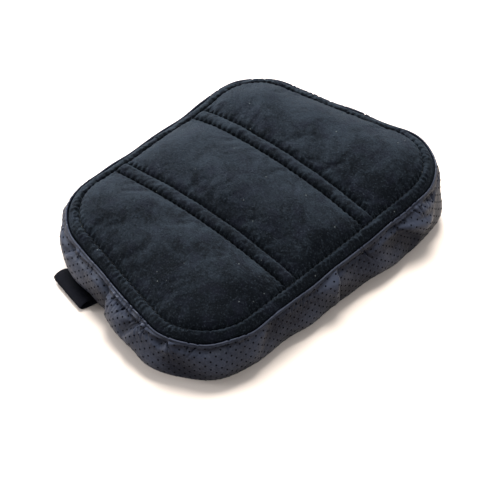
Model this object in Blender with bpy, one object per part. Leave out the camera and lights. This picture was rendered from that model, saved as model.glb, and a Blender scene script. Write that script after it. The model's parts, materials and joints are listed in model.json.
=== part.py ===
"""Chair armrest pad: quilted suede top, perforated leatherette sides, foam core, elastic strap and zip.

Frame: metres, +Z up. The pad rests on z = 0 and the origin is the middle of its footprint. The pad's
length runs along Y. Seen from above it is a rounded trapezoid: the short sides lean out towards +X, so
the -X side (with the zip) is the narrow one and the +X side is the wide one. The two short sides lie on
lines through one point on the X axis, the taper centre, and the strap runs on a circle round that point,
so it leaves both short sides squarely.
"""
import math

import bmesh
import bpy
from mathutils import Vector

# ---- plan of the seam between the top and the sides ----
PLAN_WIDTH = 0.166
NARROW_HALF = 0.0912
WIDE_HALF = 0.128
NARROW_RADIUS = 0.042
WIDE_RADIUS = 0.043

# ---- heights ----
SEAM_HEIGHT = 0.0393
END_RISE = 0.0039          # the seam climbs this much from the middle to the +Y end
CORNER_RISE = 0.0044       # and this much more at the wide corners
STITCH_RISE = 0.0028       # quilting level above the seam, at the band's inner edge
CROWN = 0.0085             # height of the quilting level's crown in the middle
PANEL_PUFF = 0.0045
PANEL_EDGE = 0.0014        # thickness of a panel where it is stitched down

# ---- cover ----
BAND_WIDTH = 0.0076
BAND_PUFF = 0.0022
CHANNEL_INNER = 0.0306
CHANNEL_OUTER = 0.0405
CHANNEL_PUFF = 0.0022
BACKING = 0.0008
LEATHER = 0.0012
BULGE = 0.0054             # how far the wall stands out from the seam
BULGE_HEIGHT = 0.0165      # height of the wall's widest line
WALL_TUCK = 0.009          # how far the wall turns in under the pad
WALL_BOTTOM = 0.0007
BASE_THICKNESS = 0.0015
GAP = 0.0003
JOIN_Y = -0.003            # join of the two gussets in the middle of the wide side

# ---- foam ----
FOAM_STANDOUT = 0.0032     # how far the foam stands out from the seam outline
FOAM_CUTBACK = 0.0060      # and how much of that is cut away behind the zip
FOAM_CUTBACK_FADE = 0.012
FOAM_BOTTOM = 0.0046
FOAM_CHAMFER = 0.023       # inset of the firm layer's lowest edge
FOAM_CHAMFER_TOP = 0.0158
FOAM_SPLIT = 0.0198        # height where the two layers meet
FOAM_CLEARANCE = 0.0022    # from the quilting level down to the foam

# ---- elastic strap ----
STRAP_WIDTH = 0.033
STRAP_THICKNESS = 0.0015
STRAP_X = -0.045           # where its centre line crosses the seam outline
LOOP_REACH = 0.0098        # straight part of a slack loop, beyond the seam outline
LOOP_TOP = 0.0094          # height of the loop's upper ply
LOOP_START = 0.0024        # where the loop leaves the rim
LOOP_DIP = 0.0007          # its upper ply starts this much lower than LOOP_TOP
GROOVE_LIFT = 0.0026       # how far the base is pressed up over the strap
RIM_LIFT = 0.009           # how far the rim is pressed up over a slack loop
RAMP_START = 0.020         # the lift grows from the groove's to the rim's from here, inside the outline
RAMP_LENGTH = 0.017
LIFT_HALF = 0.018          # half width of the full lift, a little wider than the strap
LIFT_FADE = 0.011          # and the distance over which it dies out beside it
LIFT_FADE_HEIGHT = 0.032   # up the wall, the lift is gone at this height
TAIL_HEIGHT = 0.0056       # middle of the sewn end of the strap, over the base
TACK_SIZE = (0.028, 0.0024, 0.0008)
TACK_HEIGHT = 0.0045
TACK_SETBACK = 0.0016      # from the very end of the strap

# ---- zip, recessed in the narrow side ----
ZIP_HALF_LENGTH = 0.0566
ZIP_SLOT_HALF = 0.005
TEETH_HALF_LENGTH = 0.050
TOOTH_PITCH = 0.003
SLIDER_Y = 0.044
PULL_LENGTH = 0.0125
PULL_HALF_WIDTH = 0.0030
PULL_HALF_THICKNESS = 0.00045
PULL_SLOT_HALF = 0.0013    # the opening that goes round the bridge
PULL_SLOT_END = -0.0045
PULL_BAR = 0.0005          # bar above the opening
TAPE_WIDTH = 0.0086
TAPE_THICKNESS = 0.0006
TAPE_OVERHANG = 0.005      # tape beyond the last tooth
TAPE_DEPTH = 0.0007        # how far inside the seam line the tapes lie
SLIDER_FRONT = (0.0012, 0.009, 0.008)
SLIDER_BACK = (0.0008, 0.008, 0.007)

HALF_WIDTH = PLAN_WIDTH / 2
SLOPE = (WIDE_HALF - NARROW_HALF) / PLAN_WIDTH
MIDDLE_HALF = (WIDE_HALF + NARROW_HALF) / 2
TAPER = math.atan(SLOPE)
SIN_T = math.sin(TAPER)
COS_T = math.cos(TAPER)
TAPER_CENTRE = -MIDDLE_HALF / SLOPE
STRAP_RADIUS = (STRAP_X - TAPER_CENTRE) / COS_T


# ------------------------------------------------------------------ outline
def corner(sign):
    """Centre and radius of the rounded corner at the wide (+1) or narrow (-1) end of the +Y side."""
    radius = WIDE_RADIUS if sign > 0 else NARROW_RADIUS
    x = sign * (HALF_WIDTH - radius)
    return x, MIDDLE_HALF + SLOPE * x - radius / COS_T, radius


def edge_y(x, offset):
    """Half length of the pad's outline at x, with the outline moved out by offset."""
    for sign in (-1, 1):
        cx, cy, radius = corner(sign)
        reach = radius + offset
        if sign * (x - (cx - reach * SIN_T)) > 0:
            return cy + math.sqrt(max(0.0, reach ** 2 - (x - cx) ** 2))
    return MIDDLE_HALF + SLOPE * x + offset / COS_T


def half_outline(arc_steps, side_steps):
    """Points and normals on the +Y half, from the middle of the +X side to the middle of the -X side."""
    wide_x, wide_y, wide_r = corner(1)
    narrow_x, narrow_y, narrow_r = corner(-1)
    turn = math.pi / 2 + TAPER
    samples = [(HALF_WIDTH, wide_y * k / side_steps, 0.0) for k in range(side_steps)]
    for k in range(arc_steps + 1):
        angle = turn * k / arc_steps
        samples.append((wide_x + wide_r * math.cos(angle), wide_y + wide_r * math.sin(angle), angle))
    start = Vector(samples[-1][:2])
    end = Vector((narrow_x + narrow_r * math.cos(turn), narrow_y + narrow_r * math.sin(turn)))
    for k in range(1, 2 * side_steps):
        point = start.lerp(end, k / (2 * side_steps))
        samples.append((point.x, point.y, turn))
    for k in range(arc_steps + 1):
        angle = turn + (math.pi - turn) * k / arc_steps
        samples.append((narrow_x + narrow_r * math.cos(angle), narrow_y + narrow_r * math.sin(angle), angle))
    samples += [(-HALF_WIDTH, narrow_y * (1 - k / side_steps), math.pi) for k in range(1, side_steps + 1)]
    return [(Vector((x, y)), Vector((math.cos(a), math.sin(a)))) for x, y, a in samples]


def full_outline(arc_steps, side_steps):
    """The closed outline, counter-clockwise from the middle of the +X side."""
    half = half_outline(arc_steps, side_steps)
    mirrored = [(Vector((p.x, -p.y)), Vector((n.x, -n.y))) for p, n in reversed(half[1:-1])]
    return half + mirrored


# ------------------------------------------------------------------ height fields
def smooth(value):
    """0 below 0, 1 above 1, and a smooth step between."""
    value = min(1.0, max(0.0, value))
    return value * value * (3 - 2 * value)


def seam_z(x, y):
    """Height of the seam between the top and the sides."""
    along = y / WIDE_HALF
    across = x / HALF_WIDTH
    return SEAM_HEIGHT + END_RISE * along + CORNER_RISE * (across * along) ** 2


def quilt_z(x, y):
    """Level to which the channels and the panels' edges are stitched down."""
    across = min(1.0, abs(x) / (HALF_WIDTH - BAND_WIDTH))
    along = min(1.0, abs(y) / (MIDDLE_HALF + SLOPE * x - BAND_WIDTH / COS_T))
    return seam_z(x, y) + STITCH_RISE + CROWN * (1 - across ** 2) * (1 - along ** 4)


def strap_lift(x, y):
    """How far the strap under the pad presses the base and the rim up at x, y."""
    across = abs(math.hypot(x - TAPER_CENTRE, y) - STRAP_RADIUS)
    beyond = (abs(y) - MIDDLE_HALF - SLOPE * x) * COS_T
    height = GROOVE_LIFT + (RIM_LIFT - GROOVE_LIFT) * smooth((beyond + RAMP_START) / RAMP_LENGTH)
    return height * (1 - smooth((across - LIFT_HALF) / LIFT_FADE))


def lifted(x, y, z):
    """Height of a cover point once the strap has pressed it up: less and less higher up the wall."""
    return z + strap_lift(x, y) * max(0.0, 1 - z / LIFT_FADE_HEIGHT)


def upper_arc(point, inset, end, steps):
    """(offset, height) down the upper quarter ellipse of the wall, from the seam to the angle end."""
    rise = seam_z(point.x, point.y) - inset - BULGE_HEIGHT
    points = []
    for k in range(steps + 1):
        angle = end * k / steps
        points.append(((BULGE - inset) * math.sin(angle), BULGE_HEIGHT + rise * math.cos(angle)))
    return points


def lower_arc(inset, start, steps):
    """(offset, height) down the lower quarter ellipse of the wall, from the angle start to the bottom."""
    points = []
    for k in range(steps + 1):
        angle = start + (math.pi / 2 - start) * k / steps
        offset = -WALL_TUCK + (BULGE + WALL_TUCK - inset) * math.cos(angle)
        points.append((offset, BULGE_HEIGHT - (BULGE_HEIGHT - WALL_BOTTOM - inset) * math.sin(angle)))
    return points


def wall_profile(point, inset, steps):
    """(offset, height) down the whole side wall: the two arcs meet at its widest line."""
    return upper_arc(point, inset, math.pi / 2, steps) + lower_arc(inset, 0.0, steps)[1:]


# ------------------------------------------------------------------ mesh helpers
def material(name, colour, roughness, metallic=0.0):
    """A plain Principled material."""
    made = bpy.data.materials.new(name)
    made.use_nodes = True
    shader = made.node_tree.nodes["Principled BSDF"]
    shader.inputs["Base Color"].default_value = (*colour, 1.0)
    shader.inputs["Roughness"].default_value = roughness
    shader.inputs["Metallic"].default_value = metallic
    made.diffuse_color = (*colour, 1.0)
    return made


def add_object(name, bm, finish):
    """Close off a bmesh as an object with outward faces and one material."""
    bmesh.ops.remove_doubles(bm, verts=bm.verts[:], dist=1e-6)
    bmesh.ops.recalc_face_normals(bm, faces=bm.faces[:])
    mesh = bpy.data.meshes.new(name)
    bm.to_mesh(mesh)
    bm.free()
    mesh.materials.append(finish)
    mesh.shade_smooth()
    mesh.set_sharp_from_angle(angle=math.radians(40))
    made = bpy.data.objects.new(name, mesh)
    bpy.context.collection.objects.link(made)
    return made


def loft(name, rings, finish, closed=False):
    """Skin closed rings of points. An open loft is capped at both ends, a closed one joins up."""
    bm = bmesh.new()
    rows = [[bm.verts.new(point) for point in ring] for ring in rings]
    pairs = list(zip(rows, rows[1:]))
    if closed:
        pairs.append((rows[-1], rows[0]))
    for first, second in pairs:
        count = len(first)
        for k in range(count):
            following = (k + 1) % count
            bm.faces.new((first[k], first[following], second[following], second[k]))
    if not closed:
        bm.faces.new(rows[0])
        bm.faces.new(rows[-1])
    return add_object(name, bm, finish)


def block(name, size, finish, bevel):
    """A box about its own origin with rounded edges."""
    bm = bmesh.new()
    bmesh.ops.create_cube(bm, size=1.0)
    bmesh.ops.scale(bm, vec=size, verts=bm.verts[:])
    bmesh.ops.bevel(bm, geom=bm.edges[:], offset=bevel, segments=2, affect="EDGES", profile=0.5)
    return add_object(name, bm, finish)


def slice_positions(reach, count):
    """x of the slices of a slab, closer together towards the rounded corners."""
    return [-reach * math.cos(math.pi * k / count) for k in range(count + 1)]


def slab(name, finish, slices, limits, top, bottom, steps, bow=0.0):
    """A solid between two height fields. limits(x) gives its y range; bow curves the slices in plan."""
    rings = []
    reach = slices[-1]
    for across in slices:
        lean = bow * (1 - (across / reach) ** 4)
        low, high = limits(across)
        points = []
        for k in range(steps + 1):
            share = (1 - math.cos(math.pi * k / steps)) / 2
            y = low + (high - low) * share
            x = across - lean * y * y
            if lean:
                narrow, wide = limits(x)
                y = narrow + (wide - narrow) * share
            points.append((x, y))
        ring = [Vector((x, y, bottom(x, y))) for x, y in points]
        ring += [Vector((x, y, top(x, y))) for x, y in reversed(points)]
        rings.append(ring)
    return loft(name, rings, finish)


# ------------------------------------------------------------------ quilted top
def make_panels(finish):
    """Three puffed suede panels, stitched down all round."""
    inset = -BAND_WIDTH - GAP
    reach = HALF_WIDTH + inset
    inner = CHANNEL_INNER - GAP
    outer = CHANNEL_OUTER + GAP
    limits = {
        "panel_near": lambda x: (-edge_y(x, inset), -outer),
        "panel_middle": lambda x: (-inner, inner),
        "panel_far": lambda x: (outer, edge_y(x, inset)),
    }
    for name, limit in limits.items():
        def top(x, y, limit=limit):
            low, high = limit(x)
            along = 2 * (y - low) / (high - low) - 1
            puff = (1 - (x / reach) ** 6) * (1 - min(1.0, abs(along)) ** 4)
            return quilt_z(x, y) + PANEL_EDGE + PANEL_PUFF * puff
        slab(name, finish, slice_positions(reach, 18), limit, top, quilt_z, 8)


def make_channels(finish):
    """The two raised strips between the panels, each held by a row of stitches on either side."""
    reach = HALF_WIDTH - BAND_WIDTH - GAP
    centre = (CHANNEL_INNER + CHANNEL_OUTER) / 2
    half = (CHANNEL_OUTER - CHANNEL_INNER) / 2

    for name, side in (("channel_strip_near", -1), ("channel_strip_far", 1)):
        def limit(x, side=side):
            return side * centre - half, side * centre + half

        def top(x, y, side=side):
            along = min(1.0, abs(y - side * centre) / half)
            return quilt_z(x, y) + PANEL_EDGE + CHANNEL_PUFF * (1 - along ** 2)
        slab(name, finish, slice_positions(reach, 18), limit, top, quilt_z, 4)


def make_band(finish):
    """The rounded suede band round the top, a closed sweep of a low dome."""
    rings = []
    for point, normal in full_outline(8, 4):
        base = seam_z(point.x, point.y)
        ring = [point.to_3d() + normal.to_3d() * offset + Vector((0, 0, base + rise))
                for offset, rise in ((-GAP, -0.0006), (-BAND_WIDTH, STITCH_RISE - 0.0006))]
        for k in range(5):
            share = 1 - k / 4
            offset = -GAP - (BAND_WIDTH - GAP) * share
            rise = STITCH_RISE * share + BAND_PUFF * math.sin(math.pi * share) ** 0.6 + 0.0004
            ring.append(point.to_3d() + normal.to_3d() * offset + Vector((0, 0, base + rise)))
        rings.append(ring)
    loft("edge_band", rings, finish, closed=True)


def make_backing(finish):
    """The thin fabric that the panels and channels are quilted to, inside the band's stitching."""
    inset = -BAND_WIDTH - GAP

    def limit(x):
        return -edge_y(x, inset), edge_y(x, inset)

    def underside(x, y):
        return quilt_z(x, y) - GAP - BACKING

    def upperside(x, y):
        return quilt_z(x, y) - GAP
    slab("quilt_backing", finish, slice_positions(HALF_WIDTH + inset, 18), limit, upperside, underside, 12)


# ------------------------------------------------------------------ foam
def foam_offset(point):
    """How far the foam stands out from the seam outline. It is cut back behind the zip."""
    behind_zip = 1 - smooth((abs(point.y) - ZIP_HALF_LENGTH) / FOAM_CUTBACK_FADE)
    on_zip_side = point.x < -0.99 * HALF_WIDTH
    return FOAM_STANDOUT - (FOAM_CUTBACK * behind_zip if on_zip_side else 0.0)


def foam_ring(inset, height):
    """One level of a foam block. height is a number or a height field."""
    ring = []
    for point, normal in full_outline(6, 3):
        spot = point + normal * (foam_offset(point) - inset)
        z = height(spot.x, spot.y) if callable(height) else height
        ring.append(Vector((spot.x, spot.y, z)))
    return ring


def foam_crown(x, y):
    """Top of the foam, clear of the quilt backing."""
    return min(quilt_z(x, y) - FOAM_CLEARANCE, seam_z(x, y) + CROWN)


def make_foam(soft_finish, firm_finish):
    """A firm base layer with a chamfered lower edge, and a soft memory-foam layer with a crowned top."""
    rings = [foam_ring(FOAM_CHAMFER, FOAM_BOTTOM), foam_ring(0.0012, FOAM_CHAMFER_TOP),
             foam_ring(0.0, FOAM_SPLIT)]
    loft("foam_base_layer", rings, firm_finish)
    shoulder_inset, shoulder_drop = 0.0062, 0.0045
    rings = [foam_ring(0.0, FOAM_SPLIT + GAP), foam_ring(0.0003, 0.0285),
             foam_ring(shoulder_inset, lambda x, y: seam_z(x, y) - shoulder_drop)]
    outer = foam_ring(0.014, foam_crown)
    for share in (1.0, 0.8, 0.6, 0.4, 0.2):
        rings.append([Vector((p.x * share, p.y * share, foam_crown(p.x * share, p.y * share))) for p in outer])
    loft("foam_comfort_layer", rings, soft_finish)


# ------------------------------------------------------------------ sides and base
def wall_ring(point, normal, profile):
    """One cross-section of a wall piece."""
    ring = []
    for offset, height in profile:
        spot = point + normal * offset
        ring.append(Vector((spot.x, spot.y, lifted(spot.x, spot.y, height))))
    return ring


def make_gussets(finish):
    """The two perforated side gussets. They join on the wide side and meet the zip gusset's ends."""
    half = half_outline(10, 11)
    mirrored = [(Vector((p.x, -p.y)), Vector((n.x, -n.y))) for p, n in half]
    for name, samples, start in (("gusset_far", half, JOIN_Y + GAP), ("gusset_near", mirrored, JOIN_Y)):
        kept = [(Vector((HALF_WIDTH, start)), samples[0][1])]
        kept += [(p, n) for p, n in samples[1:] if p.x > 0 or abs(p.y) > ZIP_HALF_LENGTH + 0.001]
        last = Vector((-HALF_WIDTH, math.copysign(ZIP_HALF_LENGTH + GAP, kept[-1][0].y)))
        kept.append((last, Vector((-1, 0))))
        rings = []
        for point, normal in kept:
            outer = wall_profile(point, 0.0, 5)
            inner = wall_profile(point, LEATHER, 4)
            rings.append(wall_ring(point, normal, outer + inner[::-1]))
        loft(name, rings, finish)


def make_zip_gusset(finish):
    """The strips above and below the zip, each turned in at the slot."""
    normal = Vector((-1, 0))
    lip_end = 0.0001           # the turned-in edges stop this far outside the seam line
    for name, upper in (("zip_gusset_upper", True), ("zip_gusset_lower", False)):
        rings = []
        for k in range(-3, 4):
            point = Vector((-HALF_WIDTH, k / 3 * ZIP_HALF_LENGTH))
            if upper:
                edge = BULGE_HEIGHT + ZIP_SLOT_HALF
                top = seam_z(point.x, point.y)
                stop_out = math.acos(ZIP_SLOT_HALF / (top - BULGE_HEIGHT))
                stop_in = math.acos((ZIP_SLOT_HALF + LEATHER) / (top - LEATHER - BULGE_HEIGHT))
                outer = upper_arc(point, 0.0, stop_out, 4)
                inner = upper_arc(point, LEATHER, stop_in, 4)
                lip = [(lip_end, edge), (lip_end, edge + LEATHER)]
            else:
                edge = BULGE_HEIGHT - ZIP_SLOT_HALF
                depth = BULGE_HEIGHT - WALL_BOTTOM
                start_out = math.asin(ZIP_SLOT_HALF / depth)
                start_in = math.asin((ZIP_SLOT_HALF + LEATHER) / (depth - LEATHER))
                outer = lower_arc(0.0, start_out, 4)[::-1]
                inner = lower_arc(LEATHER, start_in, 4)[::-1]
                lip = [(lip_end, edge), (lip_end, edge - LEATHER)]
            rings.append(wall_ring(point, normal, outer + lip + inner[::-1]))
        loft(name, rings, finish)


def make_base(finish):
    """The flat base panel, with a groove pressed in it by the strap."""
    inset = -WALL_TUCK - GAP
    reach = HALF_WIDTH + inset
    fine = [-0.066 + 0.004 * k for k in range(16)]
    slices = [-reach, -reach + 0.0006, -reach + 0.003] + fine
    slices += [0.008 + 0.012 * k for k in range(5)] + [reach - 0.009, reach - 0.003, reach - 0.0006, reach]
    slab("base_panel", finish, slices, lambda x: (-edge_y(x, inset), edge_y(x, inset)),
         lambda x, y: strap_lift(x, y) + BASE_THICKNESS, strap_lift, 18, bow=1 / (2 * STRAP_RADIUS))


# ------------------------------------------------------------------ strap
def strap_section(spot, outward, half_width, low, high):
    """A rectangular section of strap at a plan point, square to the outward direction."""
    across = Vector((-outward.y, outward.x)) * half_width
    corners = ((spot - across, low), (spot + across, low), (spot + across, high), (spot - across, high))
    return [Vector((p.x, p.y, z)) for p, z in corners]


def strap_exit(side):
    """Where the strap's centre line crosses the seam outline on one short side, and the way out."""
    spot = Vector((STRAP_X, side * (MIDDLE_HALF + SLOPE * STRAP_X)))
    return spot, Vector((-SIN_T, side * COS_T))


def make_strap_run(finish):
    """The long flat stretch of elastic under the base, on a circle round the taper centre."""
    low = GAP
    high = GAP + STRAP_THICKNESS
    rings = []
    near, near_out = strap_exit(-1)
    far, far_out = strap_exit(1)
    reach = LOOP_START - GAP
    rings.append(strap_section(near + near_out * reach, -near_out, STRAP_WIDTH / 2, low, high))
    steps = 20
    for k in range(steps + 1):
        angle = -TAPER + 2 * TAPER * k / steps
        spot = Vector((TAPER_CENTRE + STRAP_RADIUS * math.cos(angle), STRAP_RADIUS * math.sin(angle)))
        outward = Vector((-math.sin(angle), math.cos(angle)))
        rings.append(strap_section(spot, outward, STRAP_WIDTH / 2, low, high))
    rings.append(strap_section(far + far_out * reach, far_out, STRAP_WIDTH / 2, low, high))
    loft("strap_run", rings, finish)


def loop_path():
    """(outward, height) along the middle of a slack loop: out on top, round the fold, back below."""
    low = GAP + STRAP_THICKNESS / 2
    radius = (LOOP_TOP - low) / 2
    steps, turn_steps = 4, 12
    path = []
    for k in range(steps + 1):
        share = k / steps
        path.append((LOOP_START + (LOOP_REACH - LOOP_START) * share, LOOP_TOP - LOOP_DIP * (1 - smooth(share))))
    for k in range(1, turn_steps + 1):
        angle = math.pi / 2 - math.pi * k / turn_steps
        path.append((LOOP_REACH + radius * math.cos(angle), low + radius + radius * math.sin(angle)))
    path += [(LOOP_REACH + (LOOP_START - LOOP_REACH) * k / 3, low) for k in range(1, 4)]
    return path


def make_loop(name, side, finish):
    """A slack loop of strap that swings about the top edge of its upper ply, where it leaves the rim."""
    spot, outward = strap_exit(side)
    path = loop_path()
    half = STRAP_THICKNESS / 2
    hinge_out = path[0][0]
    hinge_z = path[0][1] + half
    rings = []
    for k, (reach, height) in enumerate(path):
        before = path[max(0, k - 1)]
        after = path[min(len(path) - 1, k + 1)]
        along = Vector((after[0] - before[0], after[1] - before[1])).normalized()
        square = Vector((-along.y, along.x)) * half
        ring = []
        for way, across in ((1, -1), (1, 1), (-1, 1), (-1, -1)):
            ring.append(Vector((across * STRAP_WIDTH / 2, reach - hinge_out + way * square.x,
                                height - hinge_z + way * square.y)))
        rings.append(ring)
    made = loft(name, rings, finish)
    pivot = spot + outward * hinge_out
    made.location = (pivot.x, pivot.y, hinge_z)
    made.rotation_euler = (0, 0, math.atan2(-outward.x, outward.y))


def make_tail(name, tack_name, side, finish, thread_finish):
    """The sewn-in end of the strap, from the base seam out to the loop, and the bar tack that holds it."""
    spot, outward = strap_exit(side)
    start_reach, end_reach = -WALL_TUCK, LOOP_START - GAP
    rings = []
    steps = 5
    for k in range(steps + 1):
        share = k / steps
        reach = start_reach + (end_reach - start_reach) * share
        middle = TAIL_HEIGHT + (loop_path()[0][1] - TAIL_HEIGHT) * share ** 0.9
        rings.append(strap_section(spot + outward * reach, outward, STRAP_WIDTH / 2,
                                   middle - STRAP_THICKNESS / 2, middle + STRAP_THICKNESS / 2))
    loft(name, rings, finish)
    tack = block(tack_name, TACK_SIZE, thread_finish, 0.0003)
    place = spot + outward * (start_reach + TACK_SETBACK)
    tack.location = (place.x, place.y, TACK_HEIGHT)
    tack.rotation_euler = (0, 0, math.atan2(-outward.x, outward.y))


# ------------------------------------------------------------------ zip
def zip_x(offset):
    """x of a point a given distance outside the seam line on the narrow side."""
    return -HALF_WIDTH - offset


def make_zip_tapes(finish):
    """The two woven tapes behind the slot."""
    size = (TAPE_THICKNESS, 2 * (TEETH_HALF_LENGTH + TAPE_OVERHANG), TAPE_WIDTH)
    apart = 0.0002 + TAPE_WIDTH / 2
    for name, side in (("zip_tape_upper", 1), ("zip_tape_lower", -1)):
        tape = block(name, size, finish, 0.0001)
        tape.location = (zip_x(-TAPE_DEPTH), 0, BULGE_HEIGHT + side * apart)


def make_teeth(finish):
    """Two rows of teeth, each one solid with a rib for every tooth."""
    count = round(2 * TEETH_HALF_LENGTH / TOOTH_PITCH)
    rib_front, dip_front, back = 0.0019, 0.0012, -0.0001
    rib_reach, dip_reach, parting = 0.0020, 0.0015, 0.00015
    for name, side in (("zip_teeth_upper", 1), ("zip_teeth_lower", -1)):
        rings = []
        for k in range(2 * count + 1):
            y = -TEETH_HALF_LENGTH + k * TOOTH_PITCH / 2
            front = rib_front if k % 2 else dip_front
            inner = BULGE_HEIGHT + side * parting
            outer = BULGE_HEIGHT + side * (rib_reach if k % 2 else dip_reach)
            rings.append([Vector((zip_x(back), y, inner)), Vector((zip_x(front), y, inner)),
                          Vector((zip_x(front), y, outer)), Vector((zip_x(back), y, outer))])
        loft(name, rings, finish)
    for name, side in (("zip_stop_top", 1), ("zip_stop_bottom", -1)):
        stop = block(name, (0.0019, 0.0022, 0.0046), finish, 0.0004)
        stop.location = (zip_x(0.0009), side * (TEETH_HALF_LENGTH + 0.0017), BULGE_HEIGHT)


def arch(reach, rise, thickness, width):
    """A bar bent over a gap, for the slider's bridge: legs along -X, length along Y."""
    bm = bmesh.new()
    outer = [(-reach, 0), (-reach, rise * 0.7), (-reach * 0.75, rise), (reach * 0.75, rise),
             (reach, rise * 0.7), (reach, 0)]
    shrink = thickness / reach
    inner = [(y * (1 - shrink), max(0.0, h - (thickness if h else 0))) for y, h in outer]
    loop_points = outer + inner[::-1]
    low = [bm.verts.new((-h, y, -width / 2)) for y, h in loop_points]
    high = [bm.verts.new((-h, y, width / 2)) for y, h in loop_points]
    count = len(loop_points)
    for k in range(count):
        following = (k + 1) % count
        bm.faces.new((low[k], low[following], high[following], high[k]))
    for row in (low, high):
        for k in range(len(outer) - 1):
            bm.faces.new((row[k], row[k + 1], row[count - 2 - k], row[count - 1 - k]))
    return bm


def make_slider(metal_finish):
    """The front plate with its bridge, and the back plate inside."""
    plate = block("zip_slider_front", SLIDER_FRONT, metal_finish, 0.0004)
    plate.location = (zip_x(0.0028), SLIDER_Y, BULGE_HEIGHT)
    bridge = add_object("bridge_form", arch(0.0036, 0.0026, 0.0009, 0.0014), metal_finish)
    bridge.location = (zip_x(0.0032), SLIDER_Y, BULGE_HEIGHT)
    bridge.hide_render = True
    bridge.display_type = "WIRE"
    join = plate.modifiers.new("bridge", "BOOLEAN")
    join.operation = "UNION"
    join.solver = "EXACT"
    join.object = bridge
    back = block("zip_slider_back", SLIDER_BACK, metal_finish, 0.0003)
    back.location = (zip_x(-0.0018), SLIDER_Y, BULGE_HEIGHT)


def make_pull(metal_finish):
    """The pull: a flat tab with an opening that hangs on the bridge, its origin on the bridge's axis."""
    bm = bmesh.new()
    half, tip, cut = PULL_HALF_WIDTH, -PULL_LENGTH, 0.0015
    outline = [(-half, PULL_BAR), (half, PULL_BAR), (half, tip + cut), (half * 0.6, tip),
               (-half * 0.6, tip), (-half, tip + cut)]
    slot = [(-PULL_SLOT_HALF, -PULL_BAR), (PULL_SLOT_HALF, -PULL_BAR),
            (PULL_SLOT_HALF, PULL_SLOT_END), (-PULL_SLOT_HALF, PULL_SLOT_END)]
    layers = []
    for x in (-PULL_HALF_THICKNESS, PULL_HALF_THICKNESS):
        layers.append(([bm.verts.new((x, y, z)) for z, y in outline], [bm.verts.new((x, y, z)) for z, y in slot]))
    for edge in (0, 1):
        first, second = layers[0][edge], layers[1][edge]
        for k in range(len(first)):
            following = (k + 1) % len(first)
            bm.faces.new((first[k], first[following], second[following], second[k]))
    for rim, hole in layers:
        bm.faces.new((rim[0], rim[1], hole[1], hole[0]))
        bm.faces.new((rim[1], rim[2], hole[2], hole[1]))
        bm.faces.new((rim[2], rim[3], rim[4], rim[5], hole[3], hole[2]))
        bm.faces.new((rim[5], rim[0], hole[0], hole[3]))
    pull = add_object("zip_pull", bm, metal_finish)
    pull.location = (zip_x(0.0042), SLIDER_Y, BULGE_HEIGHT)


def main():
    """Build the whole pad."""
    for existing in list(bpy.data.objects):
        bpy.data.objects.remove(existing, do_unlink=True)
    suede = material("suede", (0.010, 0.011, 0.014), 0.95)
    leather = material("leatherette", (0.035, 0.036, 0.041), 0.5)
    elastic = material("elastic", (0.012, 0.012, 0.014), 0.85)
    thread = material("thread", (0.010, 0.010, 0.011), 0.7)
    backing = material("backing", (0.055, 0.055, 0.060), 0.9)
    soft_foam = material("memory_foam", (0.78, 0.76, 0.70), 0.9)
    firm_foam = material("support_foam", (0.42, 0.46, 0.52), 0.9)
    base = material("base_cloth", (0.020, 0.020, 0.022), 0.85)
    tape = material("zip_tape", (0.010, 0.010, 0.011), 0.8)
    nylon = material("zip_nylon", (0.016, 0.016, 0.017), 0.4)
    metal = material("slider_metal", (0.030, 0.030, 0.032), 0.35, 0.9)

    make_panels(suede)
    make_channels(suede)
    make_band(suede)
    make_backing(backing)
    make_foam(soft_foam, firm_foam)
    make_gussets(leather)
    make_zip_gusset(leather)
    make_base(base)
    make_strap_run(elastic)
    for label, side in (("near", -1), ("far", 1)):
        make_loop(f"strap_loop_{label}", side, elastic)
        make_tail(f"strap_tail_{label}", f"strap_tack_{label}", side, elastic, thread)
    make_zip_tapes(tape)
    make_teeth(nylon)
    make_slider(metal)
    make_pull(metal)


main()
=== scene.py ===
"""Chair armrest pad: the visible model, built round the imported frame.

Metres, +Z up, the pad's length along Y. The plan is a rounded trapezoid. The seam outline, the seam's
height and the quilting level repeat the rules of the CAD source. Folds, stitches and finishes are added.
"""
import json
import math

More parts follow.
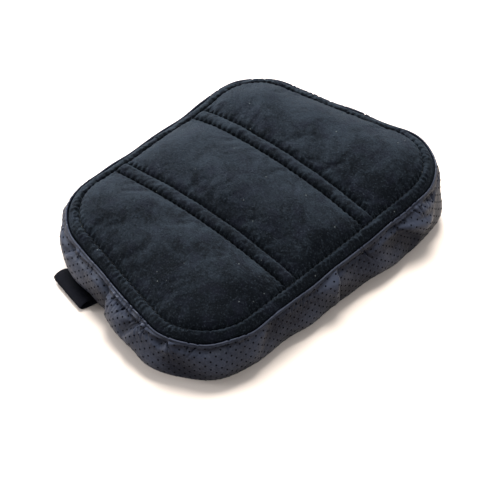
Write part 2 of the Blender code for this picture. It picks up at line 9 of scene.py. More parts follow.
import bpy
import numpy as np
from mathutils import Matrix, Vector

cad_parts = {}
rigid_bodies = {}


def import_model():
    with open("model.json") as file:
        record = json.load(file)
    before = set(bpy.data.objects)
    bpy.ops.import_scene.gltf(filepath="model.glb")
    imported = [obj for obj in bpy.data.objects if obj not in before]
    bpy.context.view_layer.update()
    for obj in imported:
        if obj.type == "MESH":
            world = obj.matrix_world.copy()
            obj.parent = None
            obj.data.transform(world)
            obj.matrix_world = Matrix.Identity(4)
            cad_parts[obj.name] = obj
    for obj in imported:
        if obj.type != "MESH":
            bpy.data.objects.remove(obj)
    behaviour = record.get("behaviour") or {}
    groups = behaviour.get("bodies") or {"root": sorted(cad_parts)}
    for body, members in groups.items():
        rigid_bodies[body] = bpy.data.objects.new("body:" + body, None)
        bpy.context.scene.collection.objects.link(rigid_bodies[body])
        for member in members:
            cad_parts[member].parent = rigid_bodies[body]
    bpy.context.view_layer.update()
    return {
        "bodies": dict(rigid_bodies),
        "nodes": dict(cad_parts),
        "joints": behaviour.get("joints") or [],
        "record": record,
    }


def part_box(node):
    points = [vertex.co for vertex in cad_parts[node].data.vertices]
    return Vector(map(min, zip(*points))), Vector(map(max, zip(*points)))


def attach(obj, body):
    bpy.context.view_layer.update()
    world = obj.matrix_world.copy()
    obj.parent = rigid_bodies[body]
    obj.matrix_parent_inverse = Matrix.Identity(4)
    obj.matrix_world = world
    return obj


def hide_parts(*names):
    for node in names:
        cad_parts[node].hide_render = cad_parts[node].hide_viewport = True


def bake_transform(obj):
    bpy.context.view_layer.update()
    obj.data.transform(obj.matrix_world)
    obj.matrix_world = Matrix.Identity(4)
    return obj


# ---- plan of the seam between the top and the sides ----
PLAN_WIDTH = 0.166
NARROW_HALF = 0.0912
WIDE_HALF = 0.128
NARROW_RADIUS = 0.042
WIDE_RADIUS = 0.043

# ---- heights ----
SEAM_HEIGHT = 0.0393
END_RISE = 0.0039
CORNER_RISE = 0.0044
STITCH_RISE = 0.0028
CROWN = 0.0085
SETTLING = ((0.033, 0.019, -0.0018), (-0.062, 0.032, 0.0013))  # y, reach and rise on the narrow side

# ---- suede top ----
PANEL_PUFF = 0.0056
PILLOW_REACH = (0.026, 0.028)  # how far in a panel still rises, from the band and from a channel
BAND_WIDTH = 0.0076
BAND_HEIGHT = 0.0026
CHANNEL_INNER = 0.0306
CHANNEL_OUTER = 0.0405
CHANNEL_HEIGHT = 0.0037
ROLL_DROP = 0.0024
ROLL_REACH = 0.0030
PINCH_DEPTH = 0.00085
PINCH_REACH = 0.0017
PINCH_SHIFT = 0.0008
STITCH = 0.0042
GAP = 0.00015        # room between neighbouring pieces of the cover
UNDERSIDE = 0.0012   # how far the top pieces reach below the quilting level
CLOTH_GRID = (76, 32)
CLOTH_FRAMES = 20
CLOTH_LIMIT = 0.005  # furthest that the simulation may move a point
CLOTH_SETTINGS = {
    "quality": 6,
    "mass": 0.10,
    "tension_stiffness": 8.0,
    "compression_stiffness": 8.0,
    "shear_stiffness": 3.0,
    "bending_stiffness": 0.6,
    "vertex_group_mass": "stitched",
    "use_pressure": True,
    "uniform_pressure_force": 4.0,
    "shrink_min": -0.003,  # spare fabric
}

# ---- leather sides ----
LEATHER = 0.0012
BULGE = 0.0054
BULGE_HEIGHT = 0.0165
WALL_TUCK = 0.009
WALL_BOTTOM = 0.0007
OUTER_START = 0.36   # angle below the seam where the outer face leaves the folded edge
INNER_START = 0.42
JOIN_Y = -0.003
HOLE_PITCH = 0.0043
HOLE_RADIUS = 0.00056
HOLE_MARGIN = 0.001
HOLE_START = 0.0012
PUCKER_DEPTH = 0.0017
EDGE_SHADE = 0.0009
SWELLS = (  # centre along the seam, reach and how much further the wall stands out than in the CAD
    (-0.225, 0.022, 0.0010),
    (-0.172, 0.034, 0.0038),
    (-0.118, 0.030, -0.0014),
    (-0.060, 0.036, -0.0036),
    (0.066, 0.026, 0.0026),
)
PUCKERED = (  # centre along the seam, reach and number of small creases
    (-0.168, 0.022, 24), (-0.268, 0.020, 9), (0.068, 0.020, 14), (0.0, 0.30, 50),
)
LIVELY = (  # centre, reach and gain of the stretches with stronger lumps
    (-0.175, 0.028, 0.7), (-0.27, 0.035, 0.6), (0.070, 0.028, 0.9), (0.25, 0.06, 0.5),
)

# ---- inside and underneath ----
FOAM_DEPTH = 0.0026           # foam top, below the quilting level
BACKING_DEPTHS = (0.0020, 0.0014)
BASE_THICKNESS = 0.0011
BASE_GAP = 0.0002
SEAM_OFFSET = 0.0016          # base stitches, outside the tuck
THREAD_LIFT = 0.0002

# ---- strap ----
STRAP_WIDTH = 0.033
STRAP_THICKNESS = 0.0015
STRAP_X = -0.045
GROOVE_LIFT = 0.0026
RIM_LIFT = 0.0040
LIFT_FADE_HEIGHT = 0.032
STRAP_LEVEL = 0.00105
TACK_HALF = 0.0138
TACK_INSET = 0.0074
# (outward, height) along the strap's middle: tail under the rim, then domed loop and back under the pad
LOOP_TAIL = ((-0.0090, 0.0031), (-0.0060, 0.0033), (-0.0025, 0.0038))
LOOP_FOLD = ((0.0010, 0.0047), (0.0036, 0.0060), (0.0066, 0.0065), (0.0097, 0.0058), (0.0118, 0.0044),
             (0.0123, 0.0030), (0.0111, 0.0016), (0.0085, 0.0010), (0.0050, 0.00095), (0.0015, STRAP_LEVEL))

# ---- zip ----
ZIP_HALF_LENGTH = 0.0566
ZIP_SLOT_HALF = 0.005
ZIP_TURN_IN = 0.0001
TEETH_HALF_LENGTH = 0.050
COIL_PITCH = 0.0015
COIL_RADIUS = 0.00037
TAPE_RIB = 0.0011

# ---- setting ----
CAMERA_AZIMUTH = 43.775
CAMERA_ELEVATION = 44.68
CAMERA_DISTANCE = 1.56
CAMERA_LENS = 172.8
CAMERA_SHIFT = (0.01368, -0.0133)
FLOOR_HALF = 6.0
FLOOR_LEVEL = -0.0002
SURROUNDINGS = (0.93, 0.96, 1.0, 1.0)
LIGHTS = (  # name, place, size, power, colour
    ("top_light", (-0.06, 0.10, 1.30), 0.60, 34.0, (1.0, 0.985, 0.96)),
    ("back_light", (-1.22, 0.66, 0.62), 0.80, 78.0, (0.93, 0.97, 1.0)),
    ("side_light", (-0.95, -1.05, 0.34), 0.50, 20.0, (0.92, 0.95, 1.0)),
    ("right_light", (1.25, -0.60, 0.50), 0.45, 9.0, (0.95, 0.97, 1.0)),
)

HALF_WIDTH = PLAN_WIDTH / 2
SLOPE = (WIDE_HALF - NARROW_HALF) / PLAN_WIDTH
MIDDLE_HALF = (WIDE_HALF + NARROW_HALF) / 2
TAPER = math.atan(SLOPE)
SIN_T = math.sin(TAPER)
COS_T = math.cos(TAPER)
TURN = math.pi / 2 + TAPER
TAPER_CENTRE = -MIDDLE_HALF / SLOPE
STRAP_RADIUS = (STRAP_X - TAPER_CENTRE) / COS_T
PANEL_REACH = HALF_WIDTH - BAND_WIDTH - GAP
SIDES = (("near", -1), ("far", 1))


# ======== outline and heights
def corner(sign):
    """Centre and radius of the rounded corner at the wide (+1) or narrow (-1) end of the +Y side."""
    radius = WIDE_RADIUS if sign > 0 else NARROW_RADIUS
    x = sign * (HALF_WIDTH - radius)
    return x, MIDDLE_HALF + SLOPE * x - radius / COS_T, radius


WIDE_X, WIDE_Y, WIDE_R = corner(1)
NARROW_X, NARROW_Y, NARROW_R = corner(-1)


def runs(offset):
    """Lengths of the five runs of half the outline, moved out by offset."""
    side = math.hypot(WIDE_X + WIDE_R * math.cos(TURN) - NARROW_X - NARROW_R * math.cos(TURN),
                      WIDE_Y + WIDE_R * math.sin(TURN) - NARROW_Y - NARROW_R * math.sin(TURN))
    narrow = (NARROW_R + offset) * (math.pi - TURN)
    return np.array([WIDE_Y, (WIDE_R + offset) * TURN, side, narrow, NARROW_Y])


HALF_OUTLINE = runs(0.0).sum()


def seam_path(s, offset=0.0):
    """Points and normals at arc length s from the middle of the +X side, negative on the near half."""
    s = np.asarray(s, dtype=float)
    lengths = runs(offset)
    ends = np.cumsum(lengths)
    r = np.abs(s)
    angle = np.clip((r - ends[0]) / lengths[1], 0, 1) * TURN
    angle = angle + np.clip((r - ends[2]) / lengths[3], 0, 1) * (math.pi - TURN)
    nx, ny = np.cos(angle), np.sin(angle)
    share = np.clip((r - ends[1]) / lengths[2], 0, 1)
    radius = WIDE_R + (NARROW_R - WIDE_R) * share + offset
    x = WIDE_X + (NARROW_X - WIDE_X) * share + radius * nx
    y = WIDE_Y + (NARROW_Y - WIDE_Y) * share + radius * ny
    y = np.where(r < ends[0], r, np.where(r > ends[3], NARROW_Y - (r - ends[3]), y))
    flip = np.where(s < 0, -1.0, 1.0)
    return np.stack([x, y * flip], -1), np.stack([nx, ny * flip], -1)


def seam_coords(x, y, offset=0.0):
    """(s, depth) of plan points: arc length along the offset outline, and distance inside the seam."""
    across, up = np.asarray(x, dtype=float), np.abs(y)
    lengths = runs(offset)
    ends = np.cumsum(lengths)
    side_s = ends[1] + (WIDE_X - across) * COS_T + (WIDE_Y - up) * SIN_T
    depth, s = HALF_WIDTH - across, up
    for other_depth, other_s in ((HALF_WIDTH + across, ends[3] + NARROW_Y - up),
                                 ((MIDDLE_HALF + SLOPE * across - up) * COS_T, side_s)):
        nearer = other_depth < depth
        s = np.where(nearer, other_s, s)
        depth = np.where(nearer, other_depth, depth)
    wide_turn = np.arctan2(up - WIDE_Y, across - WIDE_X)
    in_wide = (wide_turn > 0) & (wide_turn < TURN) & (across > WIDE_X - WIDE_R * SIN_T)
    depth = np.where(in_wide, WIDE_R - np.hypot(across - WIDE_X, up - WIDE_Y), depth)
    s = np.where(in_wide, ends[0] + lengths[1] * wide_turn / TURN, s)
    narrow_turn = np.arctan2(up - NARROW_Y, across - NARROW_X)
    in_narrow = (narrow_turn > TURN) & (up > NARROW_Y)
    depth = np.where(in_narrow, NARROW_R - np.hypot(across - NARROW_X, up - NARROW_Y), depth)
    s = np.where(in_narrow, ends[2] + lengths[3] * (narrow_turn - TURN) / (math.pi - TURN), s)
    return np.where(np.asarray(y) < 0, -s, s), depth


def edge_y(x, offset):
    """Half length of the pad's outline at x, with the outline moved out by offset."""
    x = np.asarray(x, dtype=float)
    y = MIDDLE_HALF + SLOPE * x + offset / COS_T
    for cx, cy, radius, sign in ((WIDE_X, WIDE_Y, WIDE_R, 1), (NARROW_X, NARROW_Y, NARROW_R, -1)):
        reach = radius + offset
        beyond = sign * (x - (cx - reach * SIN_T)) > 0
        y = np.where(beyond, cy + np.sqrt(np.maximum(0.0, reach ** 2 - (x - cx) ** 2)), y)
    return y


def smooth(value):
    """0 below 0, 1 above 1, and a smooth step between."""
    value = np.clip(value, 0.0, 1.0)
    return value * value * (3 - 2 * value)


def bell(value):
    """1 at 0, falling smoothly to nothing about 2 either side."""
    return np.exp(-value * value)


def quarter_round(value):
    """0 at 0, rising like a quarter circle to 1 at 1."""
    return np.sqrt(np.clip(1 - (1 - np.clip(value, 0, 1)) ** 2, 0, 1))


def settle(x, y):
    """Settling of a used pad: a dip on the narrow side by the far channel, a swell by the near corner."""
    narrow = smooth((-x - 0.050) / 0.030)
    return narrow * sum(rise * bell((y - centre) / reach) for centre, reach, rise in SETTLING)


def seam_z(x, y):
    """Height of the seam between the top and the sides."""
    along = y / WIDE_HALF
    across = x / HALF_WIDTH
    return SEAM_HEIGHT + END_RISE * along + CORNER_RISE * (across * along) ** 2 + settle(x, y)


def quilt_z(x, y):
    """Level to which the channels and the panels' edges are stitched down."""
    across = np.minimum(1.0, np.abs(x) / (HALF_WIDTH - BAND_WIDTH))
    along = np.minimum(1.0, np.abs(y) / (MIDDLE_HALF + SLOPE * x - BAND_WIDTH / COS_T))
    return seam_z(x, y) + STITCH_RISE + CROWN * (1 - across ** 2) * (1 - along ** 4)


def strap_lift(x, y):
    """How far the strap under the pad presses the base and the rim up at x, y."""
    across = np.abs(np.hypot(x - TAPER_CENTRE, y) - STRAP_RADIUS)
    beyond = (np.abs(y) - MIDDLE_HALF - SLOPE * x) * COS_T
    height = GROOVE_LIFT + (RIM_LIFT - GROOVE_LIFT) * smooth((beyond + 0.020) / 0.017)
    return height * (1 - smooth((across - STRAP_WIDTH / 2) / 0.010))


def lifted(x, y, z):
    """Height of a cover point once the strap has pressed it up: less and less higher up the wall."""
    return z + strap_lift(x, y) * np.maximum(0.0, 1 - z / LIFT_FADE_HEIGHT)


def waves(coords, seed, longest, shortest, count=14):
    """Smooth irregular field in about -1 to 1, made of plane waves with lengths between two limits."""
    rng = np.random.default_rng(seed)
    coords = [np.asarray(c, dtype=float) for c in coords]
    total = np.zeros(np.broadcast(*coords).shape)
    for _ in range(count):
        way = rng.normal(size=len(coords))
        way /= np.linalg.norm(way)
        length = shortest * (longest / shortest) ** rng.random()
        phase = rng.random() * 2 * math.pi
        total = total + np.sin(2 * math.pi / length * sum(w * c for w, c in zip(way, coords)) + phase)
    return total / math.sqrt(count)


def scallop(s, seed, pitch=STITCH):
    """0 at the stitch holes and 1 midway between them, slightly uneven."""
    s = s + 0.0005 * waves([s], seed, 0.05, 0.015, 6)
    return np.abs(np.sin(math.pi * s / pitch)) ** 0.8


# ======== mesh helpers
def add_mesh(name, points, faces, finish, uv=None, sharp=50, relief=None):
    """A smooth-shaded object from points and faces, with an optional UV and relief value at every point."""
    mesh = bpy.data.meshes.new(name)
    mesh.from_pydata(np.asarray(points).reshape(-1, 3).tolist(), [], faces)
    mesh.materials.append(finish)
    if uv is not None:
        layer = mesh.uv_layers.new(name="metres")
        corners = np.empty(len(mesh.loops), dtype=np.int32)
        mesh.loops.foreach_get("vertex_index", corners)
        layer.data.foreach_set("uv", np.asarray(uv, dtype=np.float32).reshape(-1, 2)[corners].ravel())
    if relief is not None:
        layer = mesh.attributes.new("relief", "FLOAT", "POINT")
        layer.data.foreach_set("value", relief.astype(np.float32).ravel())
    mesh.validate()
    mesh.shade_smooth()
    mesh.set_sharp_from_angle(angle=math.radians(sharp))
    made = bpy.data.objects.new(name, mesh)
    bpy.context.collection.objects.link(made)
    return made


def ring_quads(index):
    """Faces between neighbouring rings of point numbers. The last axis of index runs round a ring."""
    low, high = index[..., :-1, :], index[..., 1:, :]
    return np.stack([low, np.roll(low, -1, -1), np.roll(high, -1, -1), high], -1).reshape(-1, 4).tolist()


def loft(name, rings, finish, closed=False, uv=None, sharp=50, relief=None):
    """Skin an array of closed rings (rings x points x 3). An open loft is capped, a closed one joins up."""
    index = np.arange(rings.shape[0] * rings.shape[1]).reshape(rings.shape[:2])
    if closed:
        faces = ring_quads(np.concatenate([index, index[:1]]))
    else:
        faces = ring_quads(index) + [index[0][::-1].tolist(), index[-1].tolist()]
    made = add_mesh(name, rings, faces, finish, uv, sharp, relief)
    face_outward(made)
    return made


def face_outward(made):
    """Turn a closed mesh's faces outward if they point in."""
    mesh = made.data
    mesh.calc_loop_triangles()
    spots = np.empty(len(mesh.vertices) * 3)
    mesh.vertices.foreach_get("co", spots)
    spots = spots.reshape(-1, 3)
    corners = np.array([t.vertices[:] for t in mesh.loop_triangles])
    a, b, c = (spots[corners[:, k]] for k in range(3))
    if np.einsum("ij,ij->i", a, np.cross(b, c)).sum() < 0:
        mesh.flip_normals()


def circle(first, second, sides):
    """Unit circles spanned by two arrays of unit vectors: one row of points for each pair."""
    turn = 2 * math.pi * np.arange(sides) / sides
    return first[..., None, :] * np.cos(turn)[:, None] + second[..., None, :] * np.sin(turn)[:, None]


def unit(vectors):
    """Vectors scaled to length 1."""
    return vectors / np.maximum(np.linalg.norm(vectors, axis=-1, keepdims=True), 1e-12)


def tubes(name, starts, ends, up, radius, finish, bow=0.0, sides=8):
    """Many short rounded threads in one mesh, each from its start to its end, arched towards up."""
    up = np.broadcast_to(np.asarray(up, dtype=float), starts.shape)
    along = unit(ends - starts)
    side = unit(np.cross(along, up))
    share = np.array([0.0, 0.10, 0.32, 0.68, 0.90, 1.0])
    girth = radius * np.array([0.35, 0.85, 1.0, 1.0, 0.85, 0.35])
    centre = starts[:, None] + (ends - starts)[:, None] * share[:, None]
    centre = centre + up[:, None] * (bow * 4 * share * (1 - share))[:, None]
    around = circle(side, np.cross(side, along), sides)[:, None]
    points = centre[:, :, None] + around * girth[None, :, None, None]
    index = np.arange(len(starts) * len(share) * sides).reshape(-1, len(share), sides)
    faces = ring_quads(index) + index[:, 0, ::-1].tolist() + index[:, -1].tolist()
    return add_mesh(name, points, faces, finish)


def stacked(*parts):
    """Arrays of coordinates, spread to one shape and set side by side as points."""
    return np.stack(np.broadcast_arrays(*parts), -1)


def raised_to(plan, height):
    """World points from plan points and their heights."""
    return np.concatenate([plan, height[..., None]], -1)


def surface_normals(grid):
    """Unit normals of a grid of points."""
    return unit(np.cross(np.gradient(grid, axis=0), np.gradient(grid, axis=1)))


def enter(piece, slot, *nodes, padding=None):
    """Hide the frame nodes that a piece of the pad replaces, and attach the piece to the pad. slot and
    padding are not used.
    """
    if nodes:
        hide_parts(*nodes)
    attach(piece, "pad")


# ======== materials
class Recipe:
    """A Principled material in the making. Constants are set on the shader's own sockets."""

    def __init__(self, name, **sockets):
        self.material = bpy.data.materials.new(name)
        self.material.use_nodes = True
        self.tree = self.material.node_tree
        self.shader = self.tree.nodes["Principled BSDF"]
        for key, value in sockets.items():
            self.shader.inputs[key.replace("_", " ")].default_value = value
        self.coords = self.node("TexCoord")

    def node(self, kind, inputs=None, **settings):
        """Outputs of a new shader node. Inputs that are sockets get linked, others are set."""
        node = self.tree.nodes.new("ShaderNode" + kind)
        for key, value in settings.items():
            setattr(node, key, value)
        for key, value in (inputs or {}).items():
            if isinstance(value, bpy.types.NodeSocket):
                self.tree.links.new(value, node.inputs[key])
            else:
                node.inputs[key].default_value = value
        return node.outputs

    def math(self, operation, first, second=0.0, third=0.0):
        """Output of a math node."""
        return self.node("Math", {0: first, 1: second, 2: third}, operation=operation)[0]

    def weigh(self, *pairs):
        """Sum of values, each times its weight."""
        total = 0.0
        for value, weight in reversed(pairs):
            total = self.math("MULTIPLY_ADD", value, weight, total)
        return total

    def axis(self, vector, number):
        """One component of a vector."""
        return self.node("SeparateXYZ", {0: vector})[number]

    def noise(self, scale, detail=2.0, roughness=0.5, distortion=0.0):
        """Value of a noise texture, its scale in repeats per metre."""
        return self.node("TexNoise", {"Vector": self.coords["Object"], "Scale": scale, "Detail": detail,
                                      "Roughness": roughness, "Distortion": distortion})[0]

    def cells(self, scale):
        """Outputs of a Voronoi texture, its scale in cells per metre."""
        return self.node("TexVoronoi", {"Vector": self.coords["Object"], "Scale": scale})

    def remap(self, value, low, high, to_low=0.0, to_high=1.0):
        """Clamped linear map of a value."""
        return self.node("MapRange", {0: value, 1: low, 2: high, 3: to_low, 4: to_high})[0]

    def mix(self, factor, first, second):
        """Mix of two colours (tuples or sockets)."""
        first, second = ((*end, 1.0) if isinstance(end, tuple) else end for end in (first, second))
        return self.node("Mix", {0: factor, 6: first, 7: second}, data_type="RGBA")[2]

    def finish(self, colour, height, distance, strength=1.0, roughness=None):
        """The material, with colour, bump and roughness linked to its shader."""
        bump = self.node("Bump", {"Height": height, "Distance": distance, "Strength": strength})[0]
        for name, socket in (("Base Color", colour), ("Normal", bump), ("Roughness", roughness)):
            if socket is not None:
                self.tree.links.new(socket, self.shader.inputs[name])
        return self.material


def suede_material():
    """Black-blue microfibre suede: brushed patches and specks of lint, with painted light and shade.

    Painted light: slopes that face the back light, towards -X and +Y, are painted paler and the others
    darker.
    The whole is painted lighter towards +Y, which repeats the shading of the photo.
    """
    # root and tip are the dark and pale ends of the suede tone, which mixes painted light and shade with
    # random patches and nap.
    root, tip = (0.0005, 0.0010, 0.0018), (0.0080, 0.0112, 0.0154)
    violet, pale = (0.0042, 0.0045, 0.0088), (0.0170, 0.0218, 0.0280)
    deep, lint = (0.0010, 0.0020, 0.0034), (0.060, 0.066, 0.066)
    painted_light_way = (-0.80, 0.50, 0.0)
    suede = Recipe("suede_nap", Roughness=0.95, Specular_IOR_Level=0.04, Sheen_Weight=0.025,
                   Sheen_Roughness=0.38, Sheen_Tint=(0.60, 0.78, 1.0, 1.0))
    patches = suede.noise(62.0, 4.0, 0.62, 1.2)
    nap = suede.noise(620.0, 5.0, 0.75, 0.4)
    fine = suede.noise(900.0, 2.0, 0.7)
    # Painted light: slopes that face the back light, towards -X and +Y, are painted paler and the others
    # darker.
    painted_light_facing = suede.node("VectorMath", {0: suede.coords["Normal"], 1: painted_light_way}, operation="DOT_PRODUCT")
    # Painted shade: the suede is painted lighter towards +Y and darker towards -Y.
    along = suede.axis(suede.coords["Object"], 1)
    tone = suede.weigh((along, 0.42), (painted_light_facing["Value"], 0.32), (patches, 0.50), (nap, 0.50))
    colour = suede.mix(suede.remap(tone, 0.39, 0.61), root, tip)
    stained = suede.remap(suede.noise(95.0), 0.50, 0.68)
    colour = suede.mix(suede.math("MULTIPLY", stained, 0.35), colour, violet)
    colour = suede.mix(suede.remap(fine, 0.55, 0.76, 0.0, 0.7), colour, pale)
    colour = suede.mix(suede.remap(fine, 0.26, 0.45, 0.75, 0.0), colour, deep)
    specks = suede.cells(210.0)
    near = suede.remap(specks["Distance"], 0.060, 0.110, 1.0, 0.0)
    chosen = suede.remap(suede.node("SeparateColor", {0: specks["Color"]})[0], 0.88, 0.89)
    colour = suede.mix(suede.math("MULTIPLY", near, chosen), colour, lint)
    return suede.finish(colour, suede.weigh((fine, 0.5), (nap, 1.0)), 0.0011, 0.8)


def hole_shade_material():
    """Painted shade of a perforation: the dark inside the hole, with a trace of fluff."""
    hole = Recipe("punched_hole_shade", Roughness=1.0, Specular_IOR_Level=0.0)
    fluff = hole.noise(2500.0)
    colour = hole.mix(fluff, (0.0006, 0.0006, 0.0008), (0.0022, 0.0022, 0.0026))
    return hole.finish(colour, fluff, 0.0001)


def leather_material():
    """Dark grey leatherette with a pebbled grain, painted paler where it faces up and where it stands out,
    and darker in its hollows: painted light and shade.
    """
    dark, light = (0.0014, 0.0024, 0.0060), (0.0218, 0.0256, 0.0380)
    leather = Recipe("leatherette_grain", Specular_IOR_Level=0.26, IOR=1.22)
    pebble = leather.cells(900.0)["Distance"]
    wrinkle = leather.noise(420.0, 4.0, 0.65, 0.6)
    patches = leather.noise(55.0, 3.0)
    # Painted shade and highlight: the relief value paints hollows and the folded edge darker, and raised
    # parts paler.
    relief = leather.node("Attribute", attribute_name="relief")["Fac"]
    painted_relief_shade = leather.remap(relief, -0.0026, 0.0020, -0.20, 0.20)
    # Painted top light: the leather is painted paler where it faces up.
    painted_top_light = leather.axis(leather.coords["Normal"], 2)
    tone = leather.weigh((painted_top_light, 0.38), (painted_relief_shade, 1.0), (wrinkle, 0.55), (patches, 0.35))
    colour = leather.mix(leather.remap(tone, 0.36, 0.80), dark, light)
    height = leather.weigh((pebble, 0.45), (wrinkle, 0.55))
    return leather.finish(colour, height, 0.00030, 0.7, leather.remap(tone, 0.3, 0.7, 0.54, 0.40))


def woven_material(name, dark, light, pitches, depth, rough=0.85, sheen=0.12):
    """Woven or knitted cloth: ribs crossed by yarns whose phase alternates, on the UV map in metres."""
    cloth = Recipe(name, Roughness=rough, Specular_IOR_Level=0.05, Sheen_Weight=sheen)
    turns = [cloth.math("MULTIPLY", cloth.axis(cloth.coords["UV"], number), 2 * math.pi / pitch)
             for number, pitch in enumerate(pitches)]
    ribs, yarns = (cloth.math("SINE", turn) for turn in turns)
    relief = cloth.math("MULTIPLY_ADD", cloth.math("MULTIPLY", ribs, yarns), 0.5, 0.5)
    fuzz = cloth.noise(2600.0, 3.0, 0.7)
    tone = cloth.weigh((cloth.noise(90.0), 0.3), (relief, 0.6), (fuzz, 0.4))
    colour = cloth.mix(cloth.remap(tone, 0.35, 0.95), dark, light)
    return cloth.finish(colour, cloth.weigh((fuzz, 0.25), (relief, 1.0)), depth, 0.7)


def thread_material(name, dark, light):
    """Twisted sewing thread."""
    thread = Recipe(name, Roughness=0.8, Specular_IOR_Level=0.1, Sheen_Weight=0.02)
    ply = thread.noise(2600.0, 2.0, 0.6)
    return thread.finish(thread.mix(thread.remap(ply, 0.35, 0.65), dark, light), ply, 0.0002, 0.6)


def foam_material(name, dark, light, cell):
    """Open-cell foam with pores."""
    foam = Recipe(name, Roughness=0.95, Specular_IOR_Level=0.1)
    pores = foam.cells(1 / cell)["Distance"]
    tone = foam.weigh((foam.noise(60.0, 3.0), 0.4), (pores, 1.0))
    return foam.finish(foam.mix(foam.remap(tone, 0.2, 0.9), dark, light), pores, cell * 0.5, 0.6)


def moulded_material(name, dark, light, rough, metallic=0.0):
    """Moulded nylon or painted metal with fine mottling and worn, paler patches."""
    hard = Recipe(name, Metallic=metallic, Specular_IOR_Level=0.5)
    mottle = hard.noise(1400.0, 4.0, 0.6)
    worn = hard.remap(hard.noise(320.0, 3.0, 0.6, 0.5), 0.42, 0.70)
    uneven = hard.remap(mottle, 0.3, 0.7, rough - 0.08, rough + 0.08)
    return hard.finish(hard.mix(worn, dark, light), mottle, 0.00005, 0.5, uneven)


def floor_material():
    """Plain pale floor, faintly warm."""
    floor = Recipe("floor_pale", Roughness=0.9, Specular_IOR_Level=0.1)
    colour = floor.mix(floor.noise(6.0), (0.560, 0.492, 0.440), (0.580, 0.512, 0.460))
    floor.tree.links.new(colour, floor.shader.inputs["Base Color"])
    return floor.material


# ======== suede top
def border_height(depth, s, seed):
    """Rounded roll of the cover down into a stitched line, pinched at every stitch."""
    tight = 1 - scallop(s, seed)
    roll = quarter_round((depth - PINCH_SHIFT * tight) / ROLL_REACH)
    pinch = PINCH_DEPTH * tight * np.exp(-depth / PINCH_REACH)
    return ROLL_DROP * roll - pinch * np.clip(depth / PINCH_SHIFT, 0, 1)


def even_share(count, pull):
    """Shares from 0 to 1, closer together towards both ends."""
    step = np.linspace(0, 1, count + 1)
    return step - pull * np.sin(2 * math.pi * step) / (2 * math.pi)


def panel_grid(label, columns, rows):
    """Plan grid of a panel, denser towards its border."""
    x = -PANEL_REACH * np.cos(math.pi * np.linspace(0, 1, columns + 1))[:, None]
    end = edge_y(x, -BAND_WIDTH - GAP)
    inner = 0 * x + CHANNEL_INNER - GAP
    outer = 0 * x + CHANNEL_OUTER + GAP
    low, high = {"near": (-end, -outer), "middle": (-inner, inner), "far": (outer, end)}[label]
    y = low + (high - low) * even_share(rows, 0.55)[None, :]
    return np.broadcast_to(x, y.shape), y


def panel_depths(label, x, y):
    """Distances to the band's and to the channel's stitch line, and the place along the band's line."""
    s, depth = seam_coords(x, y, -BAND_WIDTH)
    line = CHANNEL_INNER if label == "middle" else CHANNEL_OUTER
    return np.maximum(depth - BAND_WIDTH, 0), np.abs(np.abs(y) - line), s


def pillow(*depths):
    """Rounded rise of a stuffed panel from its stitched edges, full from PILLOW_REACH inwards."""
    rise = PANEL_PUFF
    for depth, reach in zip(depths, PILLOW_REACH):
        rise = rise * (1 - (1 - np.clip(depth / reach, 0, 1)) ** 2.3)
    return rise


def panel_height(label, x, y):
    """Height of a panel over the quilting level: pillow, border rolls, puckers fanning in, and dents."""
    band_depth, channel_depth, s = panel_depths(label, x, y)
    seed = {"near": 11, "middle": 12, "far": 13}[label]
    nearest = np.minimum(band_depth, channel_depth)
    rolls = np.minimum(border_height(band_depth, s, seed), border_height(channel_depth, x, seed + 20))
    fans = waves([x, y], seed + 40, 0.013, 0.004, 18) * np.exp(-nearest / 0.006) * smooth(nearest / 0.002)
    dents = waves([x, y], seed + 60, 0.080, 0.030, 10) * smooth(nearest / 0.014)
    return pillow(band_depth, channel_depth) + rolls + 0.00020 * fans + 0.00080 * dents


def cubic_weights(count, wanted):
    """Matrix that resamples count evenly spaced values to wanted ones along a smooth curve."""
    at = np.linspace(0, count - 1, wanted)
    low = np.minimum(at.astype(int), count - 2)
    f = at - low
    shares = [-0.5 * f + f ** 2 - 0.5 * f ** 3, 1 - 2.5 * f ** 2 + 1.5 * f ** 3,
              0.5 * f + 2 * f ** 2 - 1.5 * f ** 3, -0.5 * f ** 2 + 0.5 * f ** 3]
    weights = np.zeros((wanted, count))
    for step, share in enumerate(shares):
        np.add.at(weights, (np.arange(wanted), np.clip(low - 1 + step, 0, count - 1)), share)
    return weights


def simulate_panel(label, finish):
    """How the stuffing moves a stitched-down panel: a cloth under pressure, held round its border."""
    x, y = panel_grid(label, *CLOTH_GRID)
    points = stacked(x, y, quilt_z(x, y) + pillow(*panel_depths(label, x, y)[:2]))
    index = np.arange(x.size).reshape(x.shape)
    corners = [index[:-1, :-1], index[1:, :-1], index[1:, 1:], index[:-1, 1:]]
    cloth = add_mesh("panel_cloth", points, np.stack(corners, -1).reshape(-1, 4).tolist(), finish)
    border = np.ones(index.shape, dtype=bool)
    border[1:-1, 1:-1] = False
    cloth.vertex_groups.new(name="stitched").add(index[border].tolist(), 1.0, "REPLACE")
    settings = cloth.modifiers.new("cloth", "CLOTH").settings
    for key, value in CLOTH_SETTINGS.items():
        setattr(settings, key, value)
    settings.effector_weights.gravity = 0.0
    scene = bpy.context.scene
    for frame in range(1, CLOTH_FRAMES + 1):
        scene.frame_set(frame)
    settled = cloth.evaluated_get(bpy.context.evaluated_depsgraph_get()).to_mesh()
    spots = np.empty(len(settled.vertices) * 3)
    settled.vertices.foreach_get("co", spots)
    moved = spots.reshape(points.shape) - points
    mesh = cloth.data
    bpy.data.objects.remove(cloth)
    bpy.data.meshes.remove(mesh)
    scene.frame_set(1)
    length = np.linalg.norm(moved, axis=-1, keepdims=True)
    return moved * np.minimum(1.0, CLOTH_LIMIT / np.maximum(length, 1e-9))


